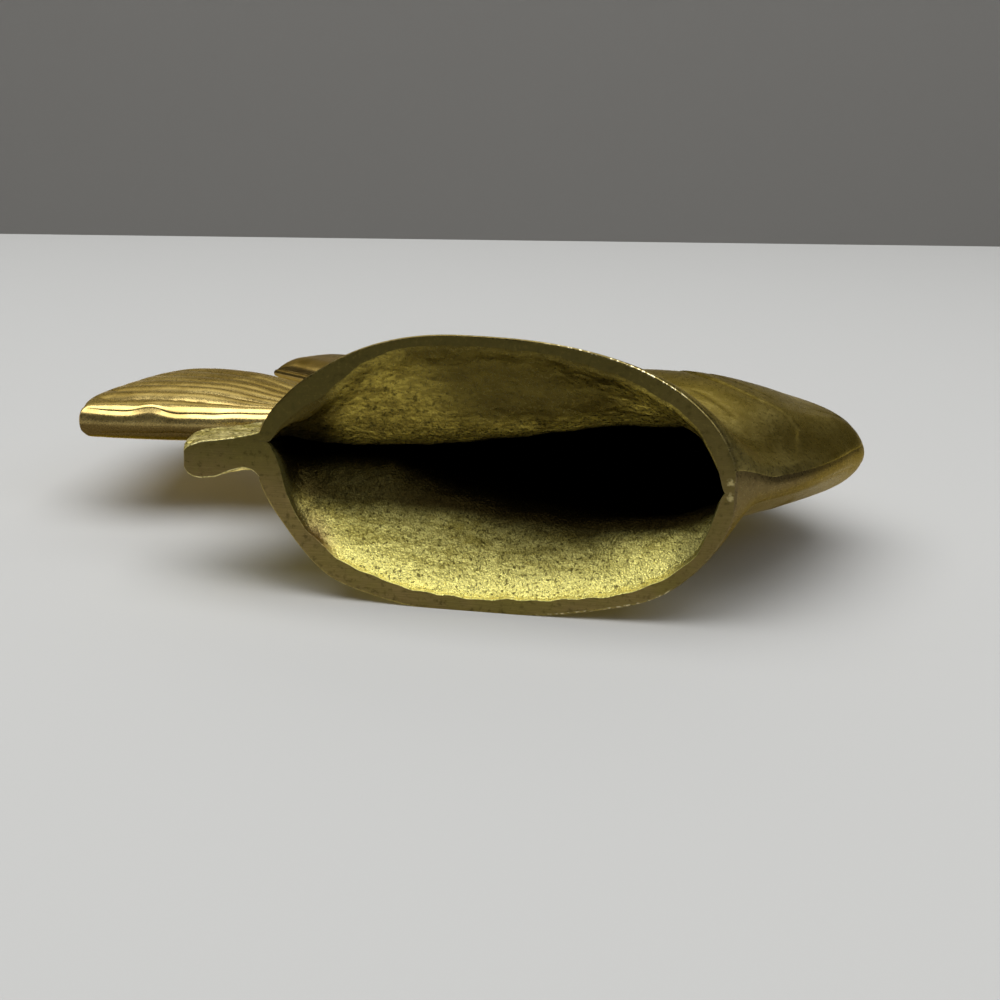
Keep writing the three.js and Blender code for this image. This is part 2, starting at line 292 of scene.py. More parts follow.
@dataclass
class Slab:
    """Closed slab made by drawing a grid out in layers, with each vertex's place in it."""

    piece: bpy.types.Object
    layers: int
    u: Array
    v: Array
    w: Array

    @classmethod
    def add(cls, name: str, columns: int, rows: int, layers: int) -> "Slab":
        """Adds a grid and extrudes it.

        Args:
            name: Name of the piece.
            columns: Cells along u.
            rows: Cells along v.
            layers: Steps through the thickness.

        Returns:
            The slab, with u, v and w from 0 to 1 at each vertex.
        """
        bpy.ops.object.select_all(action="DESELECT")
        bpy.ops.mesh.primitive_grid_add(x_subdivisions=columns, y_subdivisions=rows, size=1.0)
        piece = bpy.context.object
        piece.name = name
        edit_mode(piece)
        for _ in range(layers):
            bpy.ops.mesh.extrude_region_move(TRANSFORM_OT_translate={"value": (0.0, 0.0, 1.0 / layers)})
        bpy.ops.object.mode_set(mode="OBJECT")
        flat = np.empty(3 * len(piece.data.vertices))
        piece.data.vertices.foreach_get("co", flat)
        u, v, w = np.clip(flat.reshape(-1, 3) + (0.5, 0.5, 0.0), 0.0, 1.0).T
        return cls(piece, layers, u, v, w)

    def level(self) -> Array:
        """Number of the layer that each vertex lies in."""
        return np.round(self.w * self.layers).astype(int)

    def pick(self, steps: Sequence[Array]) -> Array:
        """Each vertex's value from the list that belongs to its layer."""
        level = self.level()
        return np.stack(steps)[level, np.arange(len(level))]

    def on_faces(self) -> Array:
        """Which vertices lie on the two broad faces."""
        return (self.w < GRID_EDGE) | (self.w > 1.0 - GRID_EDGE)

    def shape(self, side_view: Array, y: Array) -> None:
        """Moves every vertex to its place in the figure and turns the faces outwards.

        Args:
            side_view: Side-view point of each vertex.
            y: Its place across the figure.
        """
        co = np.column_stack([side_view[:, 0], y, side_view[:, 1]]) * MM
        self.piece.data.vertices.foreach_set("co", co.ravel())
        self.piece.data.update()
        edit_mode(self.piece)
        bpy.ops.mesh.normals_make_consistent(inside=False)
        bpy.ops.object.mode_set(mode="OBJECT")

    def corners(self) -> Array:
        """Vertex numbers of each four-sided face.

        Returns:
            One row of four numbers for each face.
        """
        numbers = np.empty(len(self.piece.data.loops), dtype=np.int32)
        self.piece.data.loops.foreach_get("vertex_index", numbers)
        return numbers.reshape(-1, 4)

    def faces_in(self, chosen: Array) -> Array:
        """Which faces have all their corners among the chosen vertices."""
        return chosen[self.corners()].all(axis=1)

    def paint(self, name: str, values: Array) -> None:
        """Stores one value at each vertex for the finishes to read."""
        layer = self.piece.data.attributes.new(name, "FLOAT", "POINT")
        layer.data.foreach_set("value", np.asarray(values, np.float32))

    def dress(self, finishes: Sequence[bpy.types.Material], numbers: Array | None = None) -> None:
        """Gives the piece its finishes, one number for each face.

        Args:
            finishes: The finishes in order.
            numbers: Number of each face's finish, where there are several.
        """
        for finish in finishes:
            self.piece.data.materials.append(finish)
        if numbers is not None:
            self.piece.data.polygons.foreach_set("material_index", np.asarray(numbers, np.int32))

    def roughen(self, name: str, weights: Array, size: float, strength: float) -> None:
        """Raises an uneven cast skin where the weights ask for it.

        Args:
            name: Name of the texture and of the vertex group.
            weights: Share of the strength at each vertex.
            size: Size of the lumps.
            strength: Height from the lowest to the highest lump.
        """
        group = self.piece.vertex_groups.new(name=name)
        for level in np.unique(np.round(weights, 1)):
            chosen = np.flatnonzero(np.round(weights, 1) == level)
            if level > 0:
                group.add(chosen.tolist(), float(level), "REPLACE")
        lumps = bpy.data.textures.new(name, "CLOUDS")
        lumps.noise_scale = size * MM
        lumps.noise_depth = 3
        select_only(self.piece)
        lift = self.piece.modifiers.new(name, "DISPLACE")
        lift.texture = lumps
        lift.texture_coords = "LOCAL"
        lift.vertex_group = group.name
        lift.strength = strength * MM
        lift.mid_level = 0.5
        bpy.ops.object.modifier_apply(modifier=lift.name)

    def finish(self, node: str, slot: str, crease: float = 35.0) -> bpy.types.Object:
        """Smooths the shading and ties the piece to the part.

        Args:
            node: Node of the frame that the piece stands for.
            slot: Material slot of the record; not used.
            crease: Angle in degrees above which an edge stays sharp.

        Returns:
            The finished piece.
        """
        select_only(self.piece)
        bpy.ops.object.shade_smooth_by_angle(angle=math.radians(crease))
        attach(self.piece, BODY)
        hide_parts(node)
        log.info("%s: %d faces, stands for %s", self.piece.name, len(self.piece.data.polygons), node)
        return self.piece


# Finishes


@dataclass(frozen=True)
class Noise:
    """Cloudy pattern: its fineness, its number of finer layers, their weight and its warp."""

    scale: float
    detail: float = 3.0
    rough: float = 0.55
    warp: float = 0.0


@dataclass(frozen=True)
class Mask:
    """Noise cut between two levels."""

    noise: Noise
    span: Span


class Graph:
    """Small helper that adds and links shader nodes."""

    def __init__(self, tree: bpy.types.NodeTree) -> None:
        """Keeps the tree."""
        self.tree = tree

    def add(self, kind: str, settings: dict | None = None, **inputs: object) -> bpy.types.Node:
        """Adds a node.

        Args:
            kind: Node type.
            settings: Properties of the node.
            inputs: Values or sockets for its inputs, with _ for a space in the name.

        Returns:
            The node.
        """
        node = self.tree.nodes.new(kind)
        for key, value in (settings or {}).items():
            setattr(node, key, value)
        for key, value in inputs.items():
            self.put(node.inputs[key.replace("_", " ")], value)
        return node

    def put(self, socket: Socket, value: object) -> None:
        """Links a socket to another, or sets its value.

        Args:
            socket: The input.
            value: A socket to link, or a value.
        """
        if isinstance(value, Socket):
            self.tree.links.new(value, socket)
        elif isinstance(value, tuple) and len(value) == 3 and socket.type == "RGBA":
            socket.default_value = (*value, 1.0)
        else:
            socket.default_value = value

    def math(self, operation: str, first: object, second: object = 0.0) -> Socket:
        """Sum, product or other step on two numbers.

        Args:
            operation: Name of the step.
            first: First number or socket.
            second: Second number or socket.

        Returns:
            The result.
        """
        node = self.tree.nodes.new("ShaderNodeMath")
        node.operation = operation
        self.put(node.inputs[0], first)
        self.put(node.inputs[1], second)
        return node.outputs[0]

    def times(self, first: object, second: object) -> Socket:
        """Product of two numbers."""
        return self.math("MULTIPLY", first, second)

    def plus(self, first: object, second: object) -> Socket:
        """Sum of two numbers."""
        return self.math("ADD", first, second)

    def less(self, first: object, second: object) -> Socket:
        """First number less the second."""
        return self.math("SUBTRACT", first, second)

    def ramp(self, value: object, span: Span, result: Span = (0.0, 1.0)) -> Socket:
        """Smooth change over a span of values, from the first result to the second.

        Args:
            value: Number or socket to map.
            span: Values between which it changes.
            result: Results at the two ends.

        Returns:
            The result.
        """
        node = self.add("ShaderNodeMapRange", {"interpolation_type": "SMOOTHSTEP"})
        names = ("Value", "From Min", "From Max", "To Min", "To Max")
        for name, entry in zip(names, (value, *span, *result)):
            self.put(node.inputs[name], entry)
        return node.outputs["Result"]

    def blend(self, share: object, first: object, second: object) -> Socket:
        """Mix of two colours.

        Args:
            share: Share of the second colour.
            first: First colour.
            second: Second colour.

        Returns:
            The mixed colour.
        """
        node = self.add("ShaderNodeMix", {"data_type": "RGBA"})
        self.put(node.inputs[0], share)
        self.put(node.inputs[6], first)
        self.put(node.inputs[7], second)
        return node.outputs[2]

    def tint(self, colour: object, other: Colour, mask: Socket, share: float) -> Socket:
        """Colour that goes a share of the way to another where the mask is 1."""
        return self.blend(self.times(mask, share), colour, other)

    def noise(self, vector: Socket, noise: Noise) -> Socket:
        """Cloudy pattern from 0 to 1.

        Args:
            vector: Place to read.
            noise: The pattern.

        Returns:
            The pattern's value.
        """
        node = self.add("ShaderNodeTexNoise", Vector=vector, Scale=noise.scale, Detail=noise.detail)
        self.put(node.inputs["Roughness"], noise.rough)
        self.put(node.inputs["Distortion"], noise.warp)
        return node.outputs["Fac"]

    def mask(self, vector: Socket, mask: Mask) -> Socket:
        """Cloudy pattern cut between two levels."""
        return self.ramp(self.noise(vector, mask.noise), mask.span)

    def attribute(self, name: str) -> Socket:
        """Value that a piece stores at its vertices."""
        return self.add("ShaderNodeAttribute", {"attribute_name": name}).outputs["Fac"]


class EffectGroup(Graph):
    """Node group under construction, fed by a place and one number that scales it."""

    def __init__(self, name: str, scale: str, first: float, outputs: Sequence[str]) -> None:
        """Starts the group.

        Args:
            name: Name of the group.
            scale: Name of the input that scales the place.
            first: Value of that input where a finish sets none.
            outputs: Names of the number outputs.
        """
        self.group = bpy.data.node_groups.new(name, "ShaderNodeTree")
        super().__init__(self.group)
        sockets = self.group.interface
        sockets.new_socket("Vector", in_out="INPUT", socket_type="NodeSocketVector")
        sockets.new_socket(scale, in_out="INPUT", socket_type="NodeSocketFloat").default_value = first
        for label in outputs:
            sockets.new_socket(label, in_out="OUTPUT", socket_type="NodeSocketFloat")
        source = self.tree.nodes.new("NodeGroupInput")
        self.sink = self.tree.nodes.new("NodeGroupOutput")
        self.place = source.outputs["Vector"]
        node = self.add("ShaderNodeVectorMath", {"operation": "SCALE"}, Scale=source.outputs[scale])
        self.put(node.inputs[0], self.place)
        self.scaled = node.outputs[0]

    def give(self, label: str, value: Socket) -> None:
        """Links one output."""
        self.put(self.sink.inputs[label], value)


class Effects:
    """Surface effects that several finishes share."""

    CLOUDS = Mask(Noise(1.0, 5.0, 0.6, 0.6), (0.34, 0.68))
    SPOTS = Mask(Noise(0.55, 2.0, 0.5), (0.66, 0.78))
    MOTTLE = Noise(1.6, 4.0, 0.65)
    GRAINS = Noise(1.0, 5.0, 0.62, 0.4)
    GRAIN_SPAN = (0.3, 0.72)
    GRAIN_HEIGHT = 0.7
    LUMP_SCALE, LUMP_SMOOTHNESS = 0.62, 0.5
    LUMP_SPAN = (0.15, 0.75)
    LUMP_HEIGHT = 0.45
    PITS = Mask(Noise(0.42, 3.0, 0.6), (0.56, 0.69))
    PIT_DEPTH = 0.45
    WRINKLES = Noise(0.9, 3.0, 0.6, 0.8)
    HAIR = Noise(1.0, 4.0, 0.7)
    HAIR_DRAWN = (0.12, 3.2, 3.2)

    def __init__(self) -> None:
        """Builds each group once."""
        self.tarnish = self._tarnish()
        self.cast_skin = self._cast_skin()
        self.scratches = self._scratches()

    def _tarnish(self) -> bpy.types.NodeTree:
        """Clouds of tarnish, small dark spots and fine mottling.

        Returns:
            The node group.
        """
        g = EffectGroup("tarnish", "Size", 0.05, ["Clouds", "Spots", "Mottle"])
        g.give("Clouds", g.mask(g.scaled, self.CLOUDS))
        g.give("Spots", g.mask(g.place, self.SPOTS))
        g.give("Mottle", g.noise(g.place, self.MOTTLE))
        return g.group

    def _cast_skin(self) -> bpy.types.NodeTree:
        """Grainy sand-cast skin with lumps, wrinkles and pits.

        Returns:
            The node group.
        """
        g = EffectGroup("cast_skin", "Grain", 1.6, ["Height", "Pits", "Grains"])
        grains = g.noise(g.scaled, self.GRAINS)
        cells = g.add("ShaderNodeTexVoronoi", {"feature": "SMOOTH_F1"}, Vector=g.scaled)
        g.put(cells.inputs["Scale"], self.LUMP_SCALE)
        g.put(cells.inputs["Smoothness"], self.LUMP_SMOOTHNESS)
        lumps = g.ramp(cells.outputs["Distance"], self.LUMP_SPAN, (1.0, 0.0))
        pits = g.mask(g.scaled, self.PITS)
        height = g.plus(g.times(grains, self.GRAIN_HEIGHT), g.times(lumps, self.LUMP_HEIGHT))
        height = g.plus(height, g.noise(g.place, self.WRINKLES))
        g.give("Height", g.less(height, g.times(pits, self.PIT_DEPTH)))
        g.give("Pits", pits)
        g.give("Grains", g.ramp(grains, self.GRAIN_SPAN))
        return g.group

    def _scratches(self) -> bpy.types.NodeTree:
        """Fine scratches drawn out along the first axis of the place.

        Returns:
            The node group.
        """
        g = EffectGroup("scratches", "Fineness", 1.0, ["Height"])
        drawn = g.add("ShaderNodeMapping", Vector=g.scaled, Scale=self.HAIR_DRAWN)
        g.give("Height", g.noise(drawn.outputs[0], self.HAIR))
        return g.group


class Surface(Graph):
    """Metal finish under construction, with the object's place in millimetres."""

    GLOSS_TINT = (0.85, 0.70, 0.36)
    MOTTLE_SPAN = (0.3, 0.7)

    def __init__(self, name: str, metal: float) -> None:
        """Starts the material.

        Args:
            name: Name of the material.
            metal: Share of bare metal in the surface, the rest being matt tarnish.
        """
        self.material = bpy.data.materials.new(name)
        self.material.use_nodes = True
        super().__init__(self.material.node_tree)
        self.shader = next(n for n in self.tree.nodes if n.type == "BSDF_PRINCIPLED")
        self.put(self.shader.inputs["Metallic"], metal)
        self.put(self.shader.inputs["Specular Tint"], self.GLOSS_TINT)
        self.place = self.add("ShaderNodeTexCoord").outputs["Object"]
        self.place = self.drawn((1.0 / MM, 1.0 / MM, 1.0 / MM))

    def drawn(self, scale: tuple[float, float, float]) -> Socket:
        """Place drawn out or in along each axis."""
        return self.add("ShaderNodeMapping", Vector=self.place, Scale=scale).outputs[0]

    def effect(self, group: bpy.types.NodeTree, **scale: float) -> bpy.types.Node:
        """Adds a shared effect with its own scale."""
        return self.add("ShaderNodeGroup", {"node_tree": group}, Vector=self.place, **scale)

    def finish(
        self, colour: Socket, rough: Socket, height: Socket, bump: float, lift: float = 0.2
    ) -> bpy.types.Material:
        """Links the shader.

        Args:
            colour: Colour of the metal.
            rough: Its roughness.
            height: Height of its fine relief.
            bump: Strength of that relief.
            lift: Height in millimetres that the relief stands for.

        Returns:
            The material.
        """
        relief = self.add("ShaderNodeBump", Strength=bump, Distance=lift * MM, Height=height)
        links = {"Base Color": colour, "Roughness": rough, "Normal": relief.outputs["Normal"]}
        for name, socket in links.items():
            self.put(self.shader.inputs[name], socket)
        return self.material


@dataclass(frozen=True)
class AgedBrass:
    """Handled brass of the outside: satin, mottled, with dark incised lines, painted shade and painted
    reflections.
    """

    name: str
    clean: Colour = (0.48, 0.39, 0.13)
    dull: Colour = (0.21, 0.163, 0.047)
    warm: Colour = (0.40, 0.25, 0.09)
    # Pink of the painted floor reflection under the breast and on the beads.
    rose: Colour = (0.165, 0.118, 0.058)
    # Dark colour of the incised lines and spots, also used for painted shade and a painted dark reflection.
    line: Colour = (0.06, 0.042, 0.012)
    bare: Colour = (0.80, 0.70, 0.42)
    metal: float = 0.95
    roughness: Span = (0.24, 0.38)
    cloud_size: float = 0.055
    scratch_size: float = 1.0
    scratch_height: float = 0.35
    warm_span: Span = (0.5, 0.75)
    warm_share: float = 0.35
    speckle: Mask = Mask(Noise(0.9, 4.0, 0.7), (0.46, 0.6))
    speckle_share: float = 0.6
    spot_share: float = 0.6
    gilt: Mask = Mask(Noise(0.4, 4.0, 0.65, 0.5), (0.55, 0.66))
    gilt_share: float = 0.5
    line_and_shade_share: float = 0.62
    reflection_share: float = 0.7
    flecks: Mask = Mask(Noise(1.5, 2.0, 0.5), (0.54, 0.6))
    bump: float = 0.14

    def make(self, effects: Effects) -> bpy.types.Material:
        """Builds the material.

        Args:
            effects: The shared effects.

        Returns:
            The material.
        """
        s = Surface(self.name, self.metal)
        tarnish = s.effect(effects.tarnish, Size=self.cloud_size)
        scratch = s.effect(effects.scratches, Fineness=self.scratch_size)
        mottle = tarnish.outputs["Mottle"]
        colour = s.blend(tarnish.outputs["Clouds"], self.dull, self.clean)
        colour = s.tint(colour, self.warm, s.ramp(mottle, self.warm_span), self.warm_share)
        colour = s.tint(colour, self.dull, s.mask(s.place, self.speckle), self.speckle_share)
        colour = s.tint(colour, self.line, tarnish.outputs["Spots"], self.spot_share)
        colour = s.tint(colour, self.clean, s.mask(s.place, self.gilt), self.gilt_share)
        # Dark incised lines, with painted shade and a painted dark reflection on the flanks and beads.
        colour = s.tint(colour, self.line, s.attribute("recess"), self.line_and_shade_share)
        # Painted pink floor reflection under the breast and on the beads.
        colour = s.tint(colour, self.rose, s.attribute("rosy"), self.reflection_share)
        nicks = s.times(s.attribute("bare"), s.mask(s.place, self.flecks))
        colour = s.blend(nicks, colour, self.bare)
        height = s.plus(s.times(scratch.outputs["Height"], self.scratch_height), mottle)
        return s.finish(colour, s.ramp(mottle, s.MOTTLE_SPAN, self.roughness), height, self.bump)


@dataclass(frozen=True)
class CastBrass:
    """Rough sand-cast skin inside the hollow and on the heel's sides, with painted light near the rim and
    painted shadow deeper in.
    """

    name: str
    bright: Colour = (1.0, 0.92, 0.30)
    dull: Colour = (0.30, 0.25, 0.04)
    pit: Colour = (0.09, 0.07, 0.015)
    band: Colour = (0.075, 0.055, 0.012)
    # Colour of the painted shadow deep in the hollow.
    deep: Colour = (0.024, 0.017, 0.004)
    rose: Colour = (0.50, 0.29, 0.15)
    metal: float = 0.9
    roughness: Span = (0.24, 0.52)
    grain: float = 3.8
    grain_share: float = 0.45
    patch: Mask = Mask(Noise(1.0, 4.0, 0.6, 0.5), (0.37, 0.55))
    patch_drawn: tuple[float, float, float] = (0.09, 0.25, 0.25)
    patch_share: float = 0.55
    crinkle: Mask = Mask(Noise(1.0, 4.0, 0.65, 0.6), (0.4, 0.6))
    crinkle_drawn: tuple[float, float, float] = (0.45, 1.3, 1.3)
    crease: Span = (0.45, 1.0)
    # Share of the painted light's brightening.
    painted_light_share: float = 0.9
    pit_share: float = 0.8
    smoothing: float = 0.85
    bump: float = 0.8
    lift: float = 0.3
    handled: bool = True

    def make(self, effects: Effects) -> bpy.types.Material:
        """Builds the material.

        Args:
            effects: The shared effects.

        Returns:
            The material.
        """
        s = Surface(self.name, self.metal)
        skin = s.effect(effects.cast_skin, Grain=self.grain)
        grains, height, fresh = skin.outputs["Grains"], skin.outputs["Height"], s.attribute("fresh")
        patch = s.mask(s.drawn(self.patch_drawn), self.patch)
        crinkle = s.mask(s.drawn(self.crinkle_drawn), self.crinkle)
        share = s.plus(s.times(grains, self.grain_share), s.times(patch, self.patch_share))
        # Painted light: along the left wall's rim the skin is painted brighter and loses its dark creases.
        gain = s.times(fresh, s.less(1.0, share))
        share = s.plus(share, s.times(gain, self.painted_light_share))
        crease = s.math("MAXIMUM", s.ramp(crinkle, (0.0, 1.0), self.crease), fresh)
        colour = s.blend(s.times(share, crease), self.dull, self.bright)
        colour = s.tint(colour, self.pit, skin.outputs["Pits"], self.pit_share)
        if self.handled:
            worn = s.attribute("worn")
            colour = s.blend(s.attribute("rosy"), colour, self.rose)
            colour = s.blend(worn, colour, self.band)
            # Painted shadow deep in the hollow.
            colour = s.blend(s.attribute("deep"), colour, self.deep)
            height = s.times(height, s.less(1.0, s.times(worn, self.smoothing)))
        return s.finish(colour, s.ramp(grains, (0.0, 1.0), self.roughness), height, self.bump, self.lift)


@dataclass(frozen=True)
class GroundBrass:
    """Base rim and heel, ground flat and tarnished again, darker on the right flank."""

    name: str
    tan: Colour = (0.25, 0.20, 0.05)
    rose: Colour = (0.29, 0.195, 0.085)
    dark: Colour = (0.10, 0.08, 0.02)
    soot: Colour = (0.04, 0.031, 0.008)
    burr: Colour = (0.55, 0.46, 0.20)
    burrs: Knots = ((57.2, -1.9), (57.3, 0.7))
    burr_size: float = 1.2
    burr_edge: float = 1.5
    burr_ragged: float = 2.0
    metal: float = 0.75
    roughness: Span = (0.38, 0.5)
    cloud_size: float = 0.06
    cloud_share: float = 0.7
    scratch_size: float = 1.4
    streak_span: Span = (0.38, 0.66)
    streak_share: float = 0.4
    mottle_span: Span = (0.5, 0.68)
    mottle_share: float = 0.4
    mottle_height: float = 0.6
    grime: Mask = Mask(Noise(0.8, 5.0, 0.7), (0.52, 0.66))
    grime_share: float = 0.55
    bump: float = 0.16

    def make(self, effects: Effects) -> bpy.types.Material:
        """Builds the material.

        Args:
            effects: The shared effects.

        Returns:
            The material.
        """
        s = Surface(self.name, self.metal)
        tarnish = s.effect(effects.tarnish, Size=self.cloud_size)
        hair = s.effect(effects.scratches, Fineness=self.scratch_size).outputs["Height"]
        mottle = tarnish.outputs["Mottle"]
        colour = s.tint(self.tan, self.rose, tarnish.outputs["Clouds"], self.cloud_share)
        colour = s.tint(colour, self.dark, s.ramp(hair, self.streak_span), self.streak_share)
        colour = s.blend(s.attribute("aged"), colour, self.dark)
        colour = s.tint(colour, self.tan, s.ramp(mottle, self.mottle_span), self.mottle_share)
        colour = s.tint(colour, self.soot, s.mask(s.place, self.grime), self.grime_share)
        for x, y in self.burrs:
            away = s.add("ShaderNodeVectorMath", {"operation": "DISTANCE"})
            s.put(away.inputs[0], s.place)
            s.put(away.inputs[1], (x, y, 0.0))
            ragged = s.plus(away.outputs["Value"], s.times(mottle, self.burr_ragged))
            edge = (self.burr_size, self.burr_edge * self.burr_size)
            colour = s.blend(s.ramp(ragged, edge, (1.0, 0.0)), colour, self.burr)
        height = s.plus(hair, s.times(mottle, self.mottle_height))
        return s.finish(colour, s.ramp(mottle, s.MOTTLE_SPAN, self.roughness), height, self.bump)


@dataclass(frozen=True)
class PolishedBrass:
    """Fins: worn to a golden gloss, dark in the grooves between the rays, with painted shade on the side that
    faces the floor.
    """

    name: str
    bright: Colour = (0.90, 0.69, 0.26)
    dull: Colour = (0.54, 0.39, 0.135)
    # Colour of the grooves, also used for painted shade on the side that faces the floor.
    groove: Colour = (0.13, 0.085, 0.025)
    metal: float = 1.0
    roughness: Span = (0.23, 0.33)
    cloud_size: float = 0.08
    scratch_size: float = 1.2
    spot_share: float = 0.25
    groove_share: float = 0.5
    bump: float = 0.03

    def make(self, effects: Effects) -> bpy.types.Material:
        """Builds the material.

        Args:
            effects: The shared effects.

        Returns:
            The material.
        """
        s = Surface(self.name, self.metal)
        tarnish = s.effect(effects.tarnish, Size=self.cloud_size)
        scratch = s.effect(effects.scratches, Fineness=self.scratch_size)
        mottle = tarnish.outputs["Mottle"]
        colour = s.blend(tarnish.outputs["Clouds"], self.dull, self.bright)
        colour = s.tint(colour, self.groove, tarnish.outputs["Spots"], self.spot_share)
        colour = s.tint(colour, self.groove, s.attribute("recess"), self.groove_share)
        # Painted shade on the side that faces the floor, in the groove colour.
        colour = s.blend(s.attribute("aged"), colour, self.groove)
        height = s.plus(scratch.outputs["Height"], mottle)
        return s.finish(colour, s.ramp(mottle, s.MOTTLE_SPAN, self.roughness), height, self.bump)


class Finishes:
    """All the metal finishes of the figure."""

    def __init__(self) -> None:
        """Builds the materials."""
        effects = Effects()
        # The right wall's skin is a darker, more saturated copy of the left wall's: painted shade for the
        # wall that faces away from the light.
        shaded_skin = CastBrass("shaded_cast_skin_right", bright=(0.70, 0.55, 0.105), dull=(0.17, 0.125, 0.023), grain=2.2)
        heel = CastBrass("heel_cast_skin", bright=(0.95, 0.85, 0.42), grain=1.6, handled=False)
        dorsal = PolishedBrass(
            "dorsal_polish", roughness=(0.15, 0.25), bright=(0.72, 0.52, 0.20), dull=(0.38, 0.26, 0.09)
        )
        self.outside = AgedBrass("aged_brass").make(effects)
        self.lower_wall = CastBrass("cast_skin_left").make(effects)
        self.shaded_upper_wall = shaded_skin.make(effects)
        self.ground = GroundBrass("ground_brass").make(effects)
        self.heel_side = heel.make(effects)
        self.tail = PolishedBrass("tail_polish").make(effects)
        self.dorsal = dorsal.make(effects)
        self.bead = AgedBrass("bead_brass", cloud_size=0.1).make(effects)


# The body


class Side(Enum):
    """The two flanks, by the sign of their Y."""

    LEFT = 1
    RIGHT = -1


@dataclass
class Outline:
    """Side view of the body."""

    base_front: float = 57.9
    base_rear: float = -27.0
    breast: Place = (70.9, 19.0)
    chin: Place = (79.0, 40.0)
    mouth: Place = (81.6, 53.0)
    brow: Place = (72.0, 68.0)
    forehead: Place = (53.0, 88.0)
    crest: Place = (30.0, 104.0)
    back: Place = (0.0, 102.0)
    crest_rear: Place = (-28.0, 86.0)
    belly_rear: Place = (-33.0, 20.0)
    tail_root_x: float = -36.0
    tail_root_low: float = 43.0
    tail_root_high: float = 74.0

    def __post_init__(self) -> None:
        """Draws the four edges."""
        front = (self.base_front, 0.0)
        rear = (self.base_rear, 0.0)
        root = [(self.tail_root_x, self.tail_root_low), (self.tail_root_x, self.tail_root_high)]
        face = [self.breast, self.chin, self.mouth, self.brow, self.forehead]
        self.front_line = Line.through([front, *face, self.crest])
        self.rear_line = Line.through([rear, self.belly_rear, *root, self.crest_rear])
        self.back_line = Line.through([self.crest_rear, self.back, self.crest])
        self.base_line = Line.through([rear, front])
        self.sheet = Sheet(self.base_line, self.back_line, self.rear_line, self.front_line)

    def rear_share(self, height: float) -> float:
        """Share of the rear edge at which a height is reached."""
        return float(np.interp(height, self.rear_line.points[:, 1], self.rear_line.shares))


